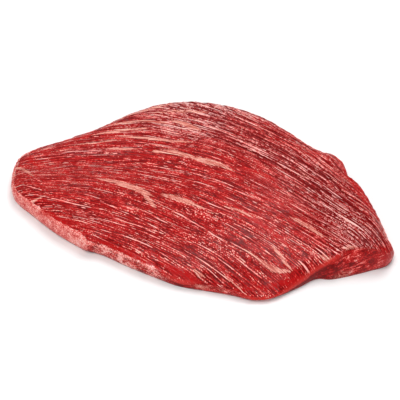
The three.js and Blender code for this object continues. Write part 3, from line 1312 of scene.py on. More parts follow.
class Shader:
    """The nodes of one material, laid and joined in code."""

    def __init__(self, name: str) -> None:
        """Starts an empty material with its output.

        Args:
            name: The material's name.
        """
        self.material = bpy.data.materials.new(name)
        self.material.use_nodes = True
        self.tree = self.material.node_tree
        self.tree.nodes.clear()
        self.output = self.node("ShaderNodeOutputMaterial")

    def node(self, kind: str) -> bpy.types.Node:
        """Adds a node."""
        return self.tree.nodes.new(kind)

    def put(self, socket: Socket, value: object) -> None:
        """Joins a socket to a value or another socket, or sets it to a number or a colour.

        Args:
            socket: The input.
            value: What goes into it.
        """
        if isinstance(value, Value):
            self.tree.links.new(value.socket, socket)
        elif isinstance(value, Socket):
            self.tree.links.new(value, socket)
        elif isinstance(value, tuple) and socket.type == "RGBA":
            socket.default_value = (*value, 1.0)
        else:
            socket.default_value = value

    def mix(self, factor: "Value", first: object, second: object) -> Socket:
        """Mixes two colours: first * (1 - factor) + second * factor.

        Args:
            factor: Share of the second.
            first: The first colour.
            second: The second colour.

        Returns:
            The mixed colour.
        """
        node = self.node("ShaderNodeMix")
        node.data_type = "RGBA"
        self.put(node.inputs["Factor"], factor)
        self.put(node.inputs[MIX_FIRST], first)
        self.put(node.inputs[MIX_SECOND], second)
        return node.outputs[MIX_RESULT]

    def ramp(self, level: "Value", tints: Tints) -> Socket:
        """Turns a level into a colour, straight from each tint to the next.

        Args:
            level: The level.
            tints: Levels in rising order, each with its colour.

        Returns:
            The colour.
        """
        node = self.node("ShaderNodeValToRGB")
        self.put(node.inputs["Fac"], level)
        stops = node.color_ramp.elements
        while len(stops) < len(tints):
            stops.new(HALFWAY)
        for stop, (place, colour) in zip(stops, tints):
            stop.position = place
            stop.color = (*colour, 1.0)
        return node.outputs["Color"]

    def mark(self, mark: Mark) -> "Value":
        """Reads one of the mesh's marks.

        Args:
            mark: The mark.

        Returns:
            Its amount.
        """
        node = self.node("ShaderNodeAttribute")
        node.attribute_name = mark.value
        return Value(self, node.outputs["Fac"])

    def _in_steps(self, vector: Socket, turn: Triple, steps: Triple) -> Socket:
        """Turns points and then measures them in steps.

        Args:
            vector: The points.
            turn: Turn about x, y and z, in degrees.
            steps: Step along x, y and z, in millimetres.

        Returns:
            The points in steps.
        """
        turned = self.node("ShaderNodeMapping")
        self.put(turned.inputs["Vector"], vector)
        turned.inputs["Rotation"].default_value = tuple(float(np.radians(angle)) for angle in turn)
        scaled = self.node("ShaderNodeMapping")
        self.put(scaled.inputs["Vector"], turned.outputs["Vector"])
        scaled.inputs["Scale"].default_value = tuple(1 / (step * MM) for step in steps)
        return scaled.outputs["Vector"]

    def stretched(self, vector: Socket, along: float, across: float, tilt: float = 0.0) -> Socket:
        """Turns a map by a tilt in degrees and measures it in steps of so many millimetres."""
        return self._in_steps(vector, (0.0, 0.0, tilt), (along, across, along))

    def layered(self, vector: Socket, along: float, through: float, slope: float) -> Socket:
        """Measures space in steps of so many millimetres along and through layers that slope."""
        return self._in_steps(vector, (0.0, slope, 0.0), (along, along, through))

    def noise(self, vector: Socket, detail: float, roughness: float = 0.5) -> "Value":
        """Lays a noise over a vector, one step of the vector to a step of the noise.

        Args:
            vector: The points, in steps.
            detail: How many finer noises are added to the first.
            roughness: How much each of them counts against the one before it.

        Returns:
            The noise, 0 to 1.
        """
        node = self.node("ShaderNodeTexNoise")
        self.put(node.inputs["Vector"], vector)
        node.inputs["Scale"].default_value = 1.0
        node.inputs["Detail"].default_value = detail
        node.inputs["Roughness"].default_value = roughness
        return Value(self, node.outputs["Fac"])

    def cells(self, vector: Socket) -> tuple["Value", "Value"]:
        """Scatters one point in each step of a vector.

        Args:
            vector: The map, in steps.

        Returns:
            The distance to the nearest point, and that point's own random number, 0 to 1.
        """
        node = self.node("ShaderNodeTexVoronoi")
        node.voronoi_dimensions = "2D"
        node.inputs["Scale"].default_value = 1.0
        self.put(node.inputs["Vector"], vector)
        split = self.node("ShaderNodeSeparateColor")
        self.put(split.inputs["Color"], node.outputs["Color"])
        return Value(self, node.outputs["Distance"]), Value(self, split.outputs["Red"])


@dataclass(frozen=True)
class Value:
    """A number at each point of a surface, worked out by the nodes of a shader.

    Attributes:
        shader: The shader.
        socket: The output that the number comes from.
    """

    shader: Shader
    socket: Socket

    def _work(self, operation: str, first: object, second: object = 0.0) -> "Value":
        """Adds the node that works out one number from two.

        Args:
            operation: What it does, in Blender's word.
            first: The first number.
            second: The second number.

        Returns:
            The result.
        """
        node = self.shader.node("ShaderNodeMath")
        node.operation = operation
        self.shader.put(node.inputs[0], first)
        self.shader.put(node.inputs[1], second)
        return Value(self.shader, node.outputs[0])

    def __add__(self, other: object) -> "Value":
        """Adds."""
        return self._work("ADD", self, other)

    def __sub__(self, other: object) -> "Value":
        """Takes away."""
        return self._work("SUBTRACT", self, other)

    def __rsub__(self, other: object) -> "Value":
        """Takes this away from a number."""
        return self._work("SUBTRACT", other, self)

    def __mul__(self, other: object) -> "Value":
        """Multiplies."""
        return self._work("MULTIPLY", self, other)

    def most(self, other: object) -> "Value":
        """Gives the larger of two."""
        return self._work("MAXIMUM", self, other)

    def nearest_whole(self) -> "Value":
        """Rounds."""
        return self._work("ROUND", self)

    def size(self) -> "Value":
        """Drops the sign."""
        return self._work("ABSOLUTE", self)

    def swing(self, reach: object) -> "Value":
        """Turns a noise around 0.5 into one around 0 that is reach times as high."""
        return (self - HALFWAY) * reach

    def rise(self, low: float, high: float) -> "Value":
        """Rises smoothly from 0 to 1 as the value goes from low to high.

        Args:
            low: Where the rise starts.
            high: Where the rise ends.

        Returns:
            The risen value.
        """
        node = self.shader.node("ShaderNodeMapRange")
        node.interpolation_type = "SMOOTHSTEP"
        self.shader.put(node.inputs["Value"], self)
        node.inputs["From Min"].default_value = low
        node.inputs["From Max"].default_value = high
        return Value(self.shader, node.outputs["Result"])


@dataclass(frozen=True)
class Thinning:
    """How a pattern is thinned out where a noise is low.

    Attributes:
        levels: Levels of the noise between which the pattern goes from thinned to full.
        share: How much of it is lost where it is thinned.
    """

    levels: Span
    share: float

    def left(self, noise: Value) -> Value:
        """Gives what is left: 1 - share where the noise is low, up to 1 where it is high."""
        return noise.rise(*self.levels) * self.share + (1 - self.share)


@dataclass(frozen=True)
class Mottle:
    """A noise laid over a map, 0 to 1.

    Attributes:
        along: Its step along the grain, in millimetres.
        across: Its step across the grain, in millimetres.
        detail: How many finer noises it has.
        roughness: How much each of them counts against the one before it.
        tilt: Its angle to the grain, in degrees.
    """

    along: float
    across: float
    detail: float
    roughness: float = 0.5
    tilt: float = 0.0

    def lay(self, shader: Shader, vector: Socket) -> Value:
        """Lays the noise over a map."""
        steps = shader.stretched(vector, self.along, self.across, self.tilt)
        return shader.noise(steps, self.detail, self.roughness)


@dataclass(frozen=True)
class Strokes:
    """Short marks scattered along the grain, one in each cell of a lattice that is pulled about.

    A mark is strongest at its cell's point and gone at a share of the cell away from it, and a
    groove lies round it, which is a dark ring of painted shade.

    Attributes:
        length: Cell size along the grain, in millimetres.
        pitch: Cell size across the grain, in millimetres.
        tilt: Angle of the marks to the grain, in degrees.
        reach: Share of a cell at which a mark's groove starts to fade.
        kept: Share of the cells that hold a mark.
        core: Where a mark starts to fade, in reaches.
        edge: Where it is gone, in reaches.
        groove_end: Where its groove is gone, in reaches.
        full: One kept mark in so many is at full strength.
    """

    length: float
    pitch: float
    tilt: float
    reach: float
    kept: float
    core: float = 0.35
    edge: float = 0.6
    groove_end: float = 1.4
    full: float = 4.0

    def lay(self, shader: Shader, flow: Socket) -> tuple[Value, Value]:
        """Lays the marks and the groove round each mark.

        Args:
            shader: The material's shader.
            flow: The wandering grain map.

        Returns:
            The marks, 0 between them and up to 1 on them, and the grooves in the same way.
        """
        distance, number = shader.cells(shader.stretched(flow, self.length, self.pitch, self.tilt))
        mark = 1.0 - distance.rise(self.reach * self.core, self.reach * self.edge)
        groove = 1.0 - distance.rise(self.reach, self.reach * self.groove_end) - mark
        strength = number.rise(1 - self.kept, 1 - self.kept / self.full)
        return mark * strength, groove * strength


@dataclass(frozen=True)
class Seams:
    """Pale lines along the borders of bundles, broken into runs, each with a groove along it that is a
    dark band of painted shade.

    Attributes:
        pitch: Distance between borders, in millimetres.
        width: Full width of a line, in millimetres.
        run: Typical length of a run, in millimetres.
        from_level: Level of the run's noise at which a line starts to show.
        fade: How much above that level it shows in full.
        apart: Steps on that noise from a line to the next.
        core: Where a line starts to fade, in half widths.
        edge: Where it is gone, in half widths.
        groove: Where the groove along it starts to fade and where it is gone, in half widths.
    """

    pitch: float
    width: float
    run: float
    from_level: float
    fade: float = 0.16
    apart: float = 3.7
    core: float = 0.4
    edge: float = 0.85
    groove: Span = (1.2, 2.2)

    def lay(self, shader: Shader, flow: Socket) -> tuple[Value, Value]:
        """Lays the lines and the groove along each line.

        Args:
            shader: The material's shader.
            flow: The wandering grain map.

        Returns:
            The lines, 0 between them and up to 1 on them, and the grooves in the same way.
        """
        split = shader.node("ShaderNodeSeparateXYZ")
        shader.put(split.inputs["Vector"], flow)
        place = Value(shader, split.outputs["Y"]) * (1 / (self.pitch * MM))
        number = place.nearest_whole()
        half = self.width / 2 / self.pitch
        off_line = (place - number).size()
        on_line = 1.0 - off_line.rise(half * self.core, half * self.edge)
        groove_from, groove_to = self.groove
        groove = 1.0 - off_line.rise(half * groove_from, half * groove_to) - on_line
        along = shader.node("ShaderNodeCombineXYZ")
        shader.put(along.inputs["X"], Value(shader, split.outputs["X"]) * (1 / (self.run * MM)))
        shader.put(along.inputs["Y"], number * self.apart)
        runs = shader.noise(along.outputs["Vector"], detail=1.0)
        strength = runs.rise(self.from_level, self.from_level + self.fade)
        return on_line * strength, groove * strength


@dataclass(frozen=True)
class Weave:
    """What is laid along the grain, each a value from 0 to 1.

    Attributes:
        tone, streak, strand: Broad light and dark, streaks, and longer streaks for the ropes.
        grains, flecks, fibres, seams, long_seams, glint_ticks: Pale marks of each kind; the glint ticks
        are painted glints.
        gaps: Dark gaps between fibres, painted shade.
        pale: The flecks and seams together.
        grooves: Painted shade of the grooves round the flecks and along the seams, and of the gaps.
        line: The long pale lines.
        rope, grit, crest: Where the cut is made of ropes, where it is gritty or carries painted glitter
            along the rim, and the ropes' crests, with their painted sheen and glints.
    """

    tone: Value
    streak: Value
    strand: Value
    grains: Value
    flecks: Value
    fibres: Value
    seams: Value
    long_seams: Value
    glint_ticks: Value
    gaps: Value
    pale: Value
    grooves: Value
    line: Value
    rope: Value
    grit: Value
    crest: Value


@dataclass(frozen=True)
class WallCovering:
    """What covers the walls: mottled film, bare cut muscle in layers, or a bright lip.

    Attributes:
        film: Colours of the film.
        lip: Colour of the lip.
        specks: Fine mottling.
        patches: Broad mottling.
        layer, layer_apart: Steps along the cut muscle's layers and from layer to layer, in
            millimetres.
        layer_slope: How steeply the layers rise towards the right, in degrees.
        layer_detail, layer_roughness: Their finer noises, and how much each of those counts.
        film_level: Middle level of the film.
        film_specks, film_patches: How far it swings with the specks and with the patches.
        film_edge: Amounts of film between which it starts to show.
        edge_specks, edge_patches: How far the specks and the patches fray that edge.
        cut_level: Middle level of the cut muscle.
        cut_layers, cut_mottling: How far it swings with the layers, and with specks and patches.
        cut_shade: How far it drops in the shade.
        lip_specks: Levels of the specks between which they show on the lip.
        lip_swing, lip_share: How much of its colour comes with them, and how much is always there.
    """

    film: Tints = (
        (0.0, display(184, 34, 34)),
        (0.35, display(222, 88, 82)),
        (0.7, display(238, 136, 126)),
        (1.0, display(255, 200, 192)),
    )
    lip: Colour = display(208, 46, 40)
    specks: Mottle = Mottle(0.9, 0.9, 2.0, 0.8)
    patches: Mottle = Mottle(7, 7, 3.0, 0.6)
    layer: float = 7
    layer_apart: float = 1.2
    layer_slope: float = 20
    layer_detail: float = 3.0
    layer_roughness: float = 0.7
    film_level: float = 0.5
    film_specks: float = 3.2
    film_patches: float = 2.0
    film_edge: Span = (0.35, 0.6)
    edge_specks: float = 1.0
    edge_patches: float = 1.1
    cut_level: float = 0.36
    cut_layers: float = 2.6
    cut_mottling: float = 1.8
    cut_shade: float = 0.5
    lip_specks: Span = (0.3, 0.5)
    lip_swing: float = 0.4
    lip_share: float = 0.5

    def cover(self, shader: Shader, base: Socket, muscle: Tints) -> Socket:
        """Covers the walls.

        Args:
            shader: The material's shader.
            base: Colour of the uncovered steak.
            muscle: Colours of the muscle.

        Returns:
            The colour with the walls' coverings.
        """
        place = shader.node("ShaderNodeTexCoord").outputs["Object"]
        specks = self.specks.lay(shader, place)
        patches = self.patches.lay(shader, place)
        in_layers = shader.layered(place, self.layer, self.layer_apart, self.layer_slope)
        layers = shader.noise(in_layers, self.layer_detail, self.layer_roughness)

        film_level = specks.swing(self.film_specks) + patches.swing(self.film_patches)
        film_colour = shader.ramp(film_level + self.film_level, self.film)
        film = shader.mark(Mark.FILM) + patches.swing(self.edge_patches)
        film = film + specks.swing(self.edge_specks)
        base = shader.mix(film.rise(*self.film_edge), base, film_colour)

        cut_level = layers.swing(self.cut_layers) + specks.swing(self.cut_mottling)
        cut_level = cut_level + patches.swing(self.cut_mottling) + self.cut_level
        # Painted shade darkens the bare cut muscle here.
        cut_level = cut_level - shader.mark(Mark.PAINTED_SHADE) * self.cut_shade
        base = shader.mix(shader.mark(Mark.CUT), base, shader.ramp(cut_level, muscle))

        lip = shader.mark(Mark.LIP) * (specks.rise(*self.lip_specks) * self.lip_swing + self.lip_share)
        return shader.mix(lip, base, self.lip)


@dataclass(frozen=True)
class Bumps:
    """The fine relief that is too small for the mesh.

    Attributes:
        height: Height of a value of 1, in millimetres.
        flecks: How far the flecks stand up, as a share of that.
        fibres: How far the rows of fibres do.
        seams: How far the seams do.
        long_seams: How far the long seams do.
        line: How far the long pale lines do.
        gaps: How far the gaps lie down.
        grains: How far the grains stand up.
        gritty_grains: How much further they do where the cut is gritty.
        ripples: The ripples on the ropes.
        rope_ripples: How far those stand up.
    """

    height: float = 0.6
    flecks: float = 0.2
    fibres: float = 0.1
    seams: float = 0.14
    long_seams: float = 0.15
    line: float = 0.15
    gaps: float = 0.1
    grains: float = 0.04
    gritty_grains: float = 0.12
    ripples: Mottle = Mottle(1.5, 2.4, 1.0, tilt=25.0)
    rope_ripples: float = 0.4

    def normal(self, shader: Shader, flow: Socket, weave: Weave) -> Socket:
        """Adds up the bumps.

        Args:
            shader: The material's shader.
            flow: The wandering grain map.
            weave: What is laid along it.

        Returns:
            The normal with the bumps.
        """
        ripples = self.ripples.lay(shader, flow)
        height = weave.flecks * self.flecks + weave.fibres * self.fibres
        height = height + weave.seams * self.seams + weave.long_seams * self.long_seams
        height = height + weave.line * self.line - weave.gaps * self.gaps
        height = height + weave.grains * (weave.grit * self.gritty_grains + self.grains)
        height = height + ripples * weave.rope * self.rope_ripples
        bump = shader.node("ShaderNodeBump")
        bump.inputs["Strength"].default_value = 1.0
        bump.inputs["Distance"].default_value = self.height * MM
        shader.put(bump.inputs["Height"], height)
        return bump.outputs["Normal"]


@dataclass(frozen=True)
class MoistSurface:
    """The shine of raw meat: soft muscle under a thin wet coat.

    Attributes:
        roughness: Roughness of the meat.
        ior: Its refractive index.
        specular: How much of its own gloss it has.
        coat: How wet it is.
        dull_coat: How much less wet it is where it is dull.
        coat_ior: Refractive index of the wet coat.
        coat_roughness: Roughness of the wet coat.
        scatter: Share of the light that goes through the meat.
        scatter_reach: How far red, green and blue go, in scatter depths.
        scatter_depth: How far red light goes, in millimetres.
    """

    roughness: float = 0.32
    ior: float = 1.36
    specular: float = 0.05
    coat: float = 0.35
    dull_coat: float = 0.28
    coat_ior: float = 1.42
    coat_roughness: float = 0.08
    scatter: float = 0.08
    scatter_reach: Triple = (1.0, 0.25, 0.18)
    scatter_depth: float = 1.5

    def finish(self, shader: Shader, base: Socket, normal: Socket) -> bpy.types.Material:
        """Ends the material with its surface.

        Args:
            shader: The material's shader.
            base: The colour.
            normal: The normal with its bumps.

        Returns:
            The finished material.
        """
        surface = shader.node("ShaderNodeBsdfPrincipled")
        shader.put(surface.inputs["Base Color"], base)
        shader.put(surface.inputs["Normal"], normal)
        shader.put(surface.inputs["Coat Normal"], normal)
        coat = self.coat - shader.mark(Mark.DULL) * self.dull_coat
        shader.put(surface.inputs["Coat Weight"], coat)
        surface.inputs["Roughness"].default_value = self.roughness
        surface.inputs["IOR"].default_value = self.ior
        surface.inputs["Specular IOR Level"].default_value = self.specular
        surface.inputs["Coat IOR"].default_value = self.coat_ior
        surface.inputs["Coat Roughness"].default_value = self.coat_roughness
        surface.inputs["Subsurface Weight"].default_value = self.scatter
        surface.inputs["Subsurface Radius"].default_value = self.scatter_reach
        surface.inputs["Subsurface Scale"].default_value = self.scatter_depth * MM
        shader.put(shader.output.inputs["Surface"], surface.outputs[0])
        return shader.material


@dataclass(frozen=True)
class RawBeef:
    """The finish of the steak: wet red muscle with pale flecks, fat strands and a thin film.

    One level, 0 to 1, runs from the dark gaps between the fibres to the palest flecks, and each
    kind of tissue turns it into colours of its own.

    Attributes:
        muscle, smooth_red, silver_and_sheen, fat: The colours of each tissue by level; silver_and_sheen
        also gives the painted sheen.
        ground_level: The level between the fibres.
        tone_swing, streak_swing: How far it swings with the broad tone and with the streaks.
        rope_streak_calm: How much less it swings with the streaks on the ropes.
        strand_swing: How far it swings with the longer streaks there.
        fibre_rise, grain_rise: How far it rises on the rows of fibres and on the grains.
        grit_rise: How much further it rises on the grains where the cut is gritty, and along the rim,
            where the pale grains are painted glitter.
        fleck_rise: How far it rises on the pale flecks and seams.
        groove_shade_drop: How far it drops round them and in the gaps, as painted shade.
        rope_gap_calm: How much of the gaps a rope takes away.
        red_level, red_share: The level that smooth red muscle comes near, and how near.
        line_rise: How far the level rises on the long pale lines.
        furrow_shade_drop: How far it drops in the furrows and under the rest of the painted shade.
        furrow_edge: Depths of a furrow between which it is shaded.
        glint_tick_rise: How far it rises on the glint ticks across the ropes' crests, which are painted
            glints.
        dull_drop: How far it drops where the surface is dull.
        silver_sheen_from: The level that silver skin and painted sheen take as their middle.
        silver_sheen_swing: How much they strengthen the level around it.
        silver_sheen_level: Where that middle comes among their colours.
        crest_sheen: How much painted sheen, in silver skin's colours, a rope's crest shows.
        fat_tone, fat_streak, fat_grain: How far tone, streaks and grains fray the fat strands.
        fat_grain_middle: Amount of grains that leaves the fat as it is.
        fat_edge: Amounts of fat between which it starts to show.
        wander, wander_reach: How the grain map wanders, and how far, in millimetres.
        tone, streak, strand: Broad light and dark, streaks, and longer streaks for the ropes.
        cluster: Where the seams are plentiful.
        grains, flecks, gaps: Fine pale grains, pale flecks, and dark gaps between fibres, the gaps
            being painted shade.
        glint_ticks: Short pale ticks for the ropes' crests, painted glints.
        fibres, seams, long_seams: Rows of fibres, and pale seams along the bundles.
        seam_strength: How strong the shorter seams are.
        few_seams: How the seams thin out away from the clusters.
        broken_seams, broken_lines: How long seams and lines thin out between the streaks.
        walls, bumps, surface: What covers the walls, the fine relief, and the shine.
    """

    muscle: Tints = (
        (0.0, display(114, 0, 4)),
        (0.25, display(163, 9, 11)),
        (0.45, display(187, 24, 25)),
        (0.6, display(208, 48, 45)),
        (0.8, display(240, 98, 91)),
        (1.0, display(255, 186, 178)),
    )
    smooth_red: Tints = (
        (0.0, display(150, 2, 6)),
        (0.5, display(192, 16, 18)),
        (1.0, display(232, 110, 96)),
    )
    silver_and_sheen: Tints = (
        (0.0, display(116, 10, 14)),
        (0.3, display(166, 34, 34)),
        (0.6, display(216, 98, 94)),
        (1.0, display(255, 204, 198)),
    )
    fat: Tints = (
        (0.0, display(190, 84, 74)),
        (0.35, display(222, 140, 124)),
        (1.0, display(246, 192, 178)),
    )
    ground_level: float = 0.265
    tone_swing: float = 0.9
    streak_swing: float = 2.4
    rope_streak_calm: float = 1.1
    strand_swing: float = 1.8
    fibre_rise: float = 0.45
    grain_rise: float = 0.2
    grit_rise: float = 0.6
    fleck_rise: float = 0.6
    groove_shade_drop: float = 0.5
    rope_gap_calm: float = 0.7
    red_level: float = 0.42
    red_share: float = 0.7
    line_rise: float = 0.72
    furrow_shade_drop: float = 0.5
    furrow_edge: Span = (0.04, 0.45)
    glint_tick_rise: float = 0.5
    dull_drop: float = 0.14
    silver_sheen_from: float = 0.42
    silver_sheen_swing: float = 2.2
    silver_sheen_level: float = 0.6
    crest_sheen: float = 0.15
    fat_tone: float = 1.3
    fat_streak: float = 2.6
    fat_grain: float = 0.4
    fat_grain_middle: float = 0.3
    fat_edge: Span = (0.36, 0.48)
    wander: Mottle = Mottle(24, 7, 1.0)
    wander_reach: float = 1.4
    tone: Mottle = Mottle(30, 4.5, 3.0)
    streak: Mottle = Mottle(18, 1.0, 4.0, 0.65)
    cluster: Mottle = Mottle(26, 12, 1.0)
    strand: Mottle = Mottle(50, 1.5, 2.0, 0.6)
    grains: Strokes = Strokes(1.3, 1.2, 0.0, 0.75, 0.7)
    flecks: Strokes = Strokes(11.0, 1.7, 2.0, 0.4, 0.3)
    gaps: Strokes = Strokes(12.0, 1.6, -2.0, 0.55, 0.55)
    glint_ticks: Strokes = Strokes(4.0, 1.0, 0.0, 0.6, 0.6)
    fibres: Seams = Seams(1.7, 0.8, 2.0, 0.42)
    seams: Seams = Seams(3.3, 0.9, 16.0, 0.45)
    seam_strength: float = 0.95
    long_seams: Seams = Seams(7.6, 1.3, 60.0, 0.44)
    few_seams: Thinning = Thinning((0.35, 0.65), 0.6)
    broken_seams: Thinning = Thinning((0.4, 0.55), 0.6)
    broken_lines: Thinning = Thinning((0.4, 0.55), 0.5)
    walls: WallCovering = WallCovering()
    bumps: Bumps = Bumps()
    surface: MoistSurface = MoistSurface()

    def material(self) -> bpy.types.Material:
        """Lays the material's nodes.

        Returns:
            The finished material.
        """
        shader = Shader("raw_beef")
        flow = self._flow(shader)
        weave = self._weave(shader, flow)
        red = shader.mark(Mark.RED)
        level = self._level(shader, weave, red)
        base = self._tissues(shader, weave, red, level)
        base = self.walls.cover(shader, base, self.muscle)
        return self.surface.finish(shader, base, self.bumps.normal(shader, flow, weave))

    def _flow(self, shader: Shader) -> Socket:
        """Makes the grain map wander a little, so that no mark on it is straight.

        Args:
            shader: The material's shader.

        Returns:
            The grain map, moved across the grain by a noise.
        """
        grain = shader.node("ShaderNodeUVMap")
        grain.uv_map = GRAIN_MAP
        wander = self.wander.lay(shader, grain.outputs["UV"])
        shift = shader.node("ShaderNodeCombineXYZ")
        shader.put(shift.inputs["Y"], wander.swing(self.wander_reach * MM))
        wavy = shader.node("ShaderNodeVectorMath")
        wavy.operation = "ADD"
        shader.put(wavy.inputs[0], grain.outputs["UV"])
        shader.put(wavy.inputs[1], shift.outputs[0])
        return wavy.outputs[0]

    def _weave(self, shader: Shader, flow: Socket) -> Weave:
        """Lays everything that runs along the grain.

        Args:
            shader: The material's shader.
            flow: The wandering grain map.

        Returns:
            What is laid.
        """
        streak = self.streak.lay(shader, flow)
        grains, _ = self.grains.lay(shader, flow)
        flecks, fleck_grooves = self.flecks.lay(shader, flow)
        gaps, _ = self.gaps.lay(shader, flow)
        glint_ticks, _ = self.glint_ticks.lay(shader, flow)
        fibres, _ = self.fibres.lay(shader, flow)
        seams, seam_grooves = self.seams.lay(shader, flow)
        long_seams, long_grooves = self.long_seams.lay(shader, flow)
        rope = shader.mark(Mark.ROPE)
        plenty = self.few_seams.left(self.cluster.lay(shader, flow))
        seams = seams * self.seam_strength
        long_seams = long_seams * self.broken_seams.left(streak)
        # Painted shade round the flecks and along the seams.
        grooves = fleck_grooves.most(seam_grooves * plenty).most(long_grooves)
        return Weave(
            tone=self.tone.lay(shader, flow),
            streak=streak,
            strand=self.strand.lay(shader, flow),
            grains=grains,
            flecks=flecks,
            fibres=fibres,
            seams=seams,
            long_seams=long_seams,
            glint_ticks=glint_ticks,
            gaps=gaps,
            pale=flecks.most(seams * plenty).most(long_seams),
            grooves=grooves.most(gaps * (1.0 - rope * self.rope_gap_calm)),
            line=shader.mark(Mark.LINE) * self.broken_lines.left(streak),
            rope=rope,
            grit=shader.mark(Mark.GRIT),
            crest=shader.mark(Mark.CREST),
        )

    def _level(self, shader: Shader, weave: Weave, red: Value) -> Value:
        """Adds up the level.

        It starts at ground_level and rises and drops with each thing that is laid. Where the
        muscle is smooth and red, it comes near red_level before the lines and furrows count.

        Args:
            shader: The material's shader.
            weave: What is laid along the grain.
            red: Where the muscle is smooth and red.

        Returns:
            The level, 0 to 1 or a little beyond.
        """
        streak_swing = self.streak_swing - weave.rope * self.rope_streak_calm
        level = weave.tone.swing(self.tone_swing) + weave.streak.swing(streak_swing)
        level = level + weave.strand.swing(weave.rope * self.strand_swing)
        level = level + weave.grains * (weave.grit * self.grit_rise + self.grain_rise)
        level = level + weave.fibres * self.fibre_rise + self.ground_level
        # The grooves and the gaps drop it as painted shade.
        level = level + weave.pale * self.fleck_rise - weave.grooves * self.groove_shade_drop
        level = level + (self.red_level - level) * (red * self.red_share)
        # Painted shade drops the level in furrows, troughs and beside the long pale lines.
        furrow = shader.mark(Mark.PAINTED_SHADE).rise(*self.furrow_edge)
        level = level + weave.line * self.line_rise - furrow * self.furrow_shade_drop
        dull = shader.mark(Mark.DULL) * self.dull_drop
        # Painted glints on the ropes' crests.
        return level + weave.glint_ticks * weave.crest * self.glint_tick_rise - dull

    def _tissues(self, shader: Shader, weave: Weave, red: Value, level: Value) -> Socket:
        """Colours the muscle, the silver skin with its painted sheen, the smooth red muscle and the fat
        by the level.

        Args:
            shader: The material's shader.
            weave: What is laid along the grain.
            red: Where the muscle is smooth and red.
            level: The level.

        Returns:
            The colour of the steak without its walls' coverings.
        """
        silver_sheen_level = (level - self.silver_sheen_from) * self.silver_sheen_swing + self.silver_sheen_level
        # Silver skin and painted sheen, with painted sheen on the ropes' crests too.
        silver_and_sheen = shader.mark(Mark.SILVER_AND_SHEEN).most(weave.crest * self.crest_sheen)
        silver_and_sheen_colour = shader.ramp(silver_sheen_level, self.silver_and_sheen)
        base = shader.mix(silver_and_sheen, shader.ramp(level, self.muscle), silver_and_sheen_colour)
        base = shader.mix(red, base, shader.ramp(level, self.smooth_red))
        fat = shader.mark(Mark.FAT) + weave.tone.swing(self.fat_tone)
        fat = fat + weave.streak.swing(self.fat_streak)
        fat = fat + (weave.grains - self.fat_grain_middle) * self.fat_grain
        return shader.mix(fat.rise(*self.fat_edge), base, shader.ramp(level, self.fat))


def direction(azimuth: float, elevation: float) -> Vector:
    """Gives a direction from the steak by angles in degrees: (sin a cos e, -cos a cos e, sin e)."""
    a, e = np.radians(azimuth), np.radians(elevation)
    return Vector((np.sin(a) * np.cos(e), -np.cos(a) * np.cos(e), np.sin(e)))


@dataclass(frozen=True)
class Softbox:
    """A square softbox that faces the steak.

    Attributes:
        name: The light's name.
        azimuth: Where it hangs round the steak, in degrees.
        elevation: How high it hangs, in degrees.
        side: Length of its side.
        power: Its power in watts.
        distance: How far off it hangs.
    """

    name: str
    azimuth: float
    elevation: float
    side: float
    power: float
    distance: float = 1.8

    def hang(self) -> None:
        """Hangs the softbox."""
        light = bpy.data.lights.new(self.name, "AREA")
        light.size = self.side
        light.energy = self.power
        softbox = bpy.data.objects.new(self.name, light)
        towards = direction(self.azimuth, self.elevation)
        softbox.location = towards * self.distance
        softbox.rotation_euler = towards.to_track_quat("Z", "Y").to_euler()
        bpy.context.scene.collection.objects.link(softbox)


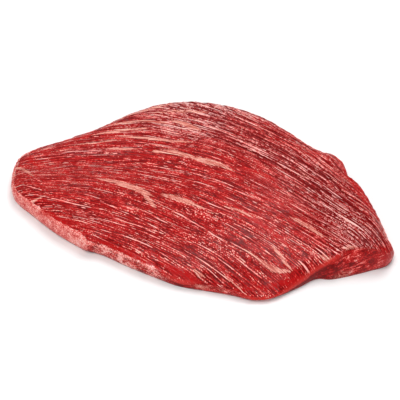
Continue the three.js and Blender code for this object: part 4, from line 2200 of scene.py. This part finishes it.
@dataclass(frozen=True)
class Studio:
    """The floor, the lights and the camera, in metres.

    Attributes:
        floor_side: Length of the floor's side.
        floor_colour: The floor's colour.
        sky_strength: Strength of the plain white light from all round.
        softboxes: The softboxes.
        camera_azimuth: Where the camera stands round the steak, in degrees.
        camera_elevation: How high it stands, in degrees.
        camera_distance: How far from its target it stands.
        target: The point it looks at.
        focal_pixels: Focal length, in pixels of the photograph.
        image_pixels: Width of the photograph, in pixels.
        sensor_mm: Width of the sensor, in millimetres.
    """

    floor_side: float = 6.0
    floor_colour: Colour = (0.93, 0.93, 0.93)
    sky_strength: float = 0.5
    softboxes: tuple[Softbox, ...] = (
        Softbox("key_softbox", azimuth=170, elevation=62, side=0.9, power=16.4),
        Softbox("top_softbox", azimuth=-40, elevation=75, side=0.6, power=8),
        Softbox("front_softbox", azimuth=-5, elevation=30, side=1.0, power=5),
    )
    camera_azimuth: float = 18.0
    camera_elevation: float = 47.0
    camera_distance: float = 1.0
    target: Triple = (-0.001, -0.012, 0.008)
    focal_pixels: float = 1290.0
    image_pixels: float = 400.0
    sensor_mm: float = 36.0

    def build(self) -> None:
        """Builds the floor, the sky, the lights and the camera."""
        self._floor()
        self._sky()
        for softbox in self.softboxes:
            softbox.hang()
        self._camera()

    def _floor(self) -> None:
        """Lays the plain pale floor, without gloss."""
        half = self.floor_side / 2
        corners = [(-half, -half, 0), (half, -half, 0), (half, half, 0), (-half, half, 0)]
        mesh = bpy.data.meshes.new("floor")
        mesh.from_pydata(corners, [], [(0, 1, 2, 3)])
        floor = bpy.data.objects.new("floor", mesh)
        bpy.context.scene.collection.objects.link(floor)
        shader = Shader("pale_floor")
        surface = shader.node("ShaderNodeBsdfPrincipled")
        surface.inputs["Base Color"].default_value = (*self.floor_colour, 1.0)
        surface.inputs["Roughness"].default_value = 1.0
        surface.inputs["Specular IOR Level"].default_value = 0.0
        shader.put(shader.output.inputs["Surface"], surface.outputs[0])
        mesh.materials.append(shader.material)

    def _sky(self) -> None:
        """Lights everything evenly from all round with plain white."""
        world = bpy.data.worlds.new("studio")
        world.use_nodes = True
        background = world.node_tree.nodes["Background"]
        background.inputs["Color"].default_value = (1.0, 1.0, 1.0, 1.0)
        background.inputs["Strength"].default_value = self.sky_strength
        bpy.context.scene.world = world
        bpy.context.scene.view_settings.view_transform = "Standard"

    def _camera(self) -> None:
        """Sets the camera at the photograph's angle."""
        data = bpy.data.cameras.new("camera")
        data.sensor_width = self.sensor_mm
        data.lens = self.sensor_mm * self.focal_pixels / self.image_pixels
        camera = bpy.data.objects.new("camera", data)
        towards = direction(self.camera_azimuth, self.camera_elevation)
        camera.location = Vector(self.target) + towards * self.camera_distance
        camera.rotation_euler = towards.to_track_quat("Z", "Y").to_euler()
        bpy.context.scene.collection.objects.link(camera)
        bpy.context.scene.camera = camera


def main() -> None:
    """Builds the studio and the steak in order and reports each piece."""
    logging.basicConfig(level=logging.INFO, format="%(name)s: %(message)s")
    Studio().build()
    log.info("studio: floor, sky, softboxes and camera")
    flank = Steak()
    steak = flank.build()
    flank.dress(steak, RawBeef())
    log.info("%s: %d triangles", steak.name, len(steak.data.polygons))


if __name__ == "__main__":
    main()
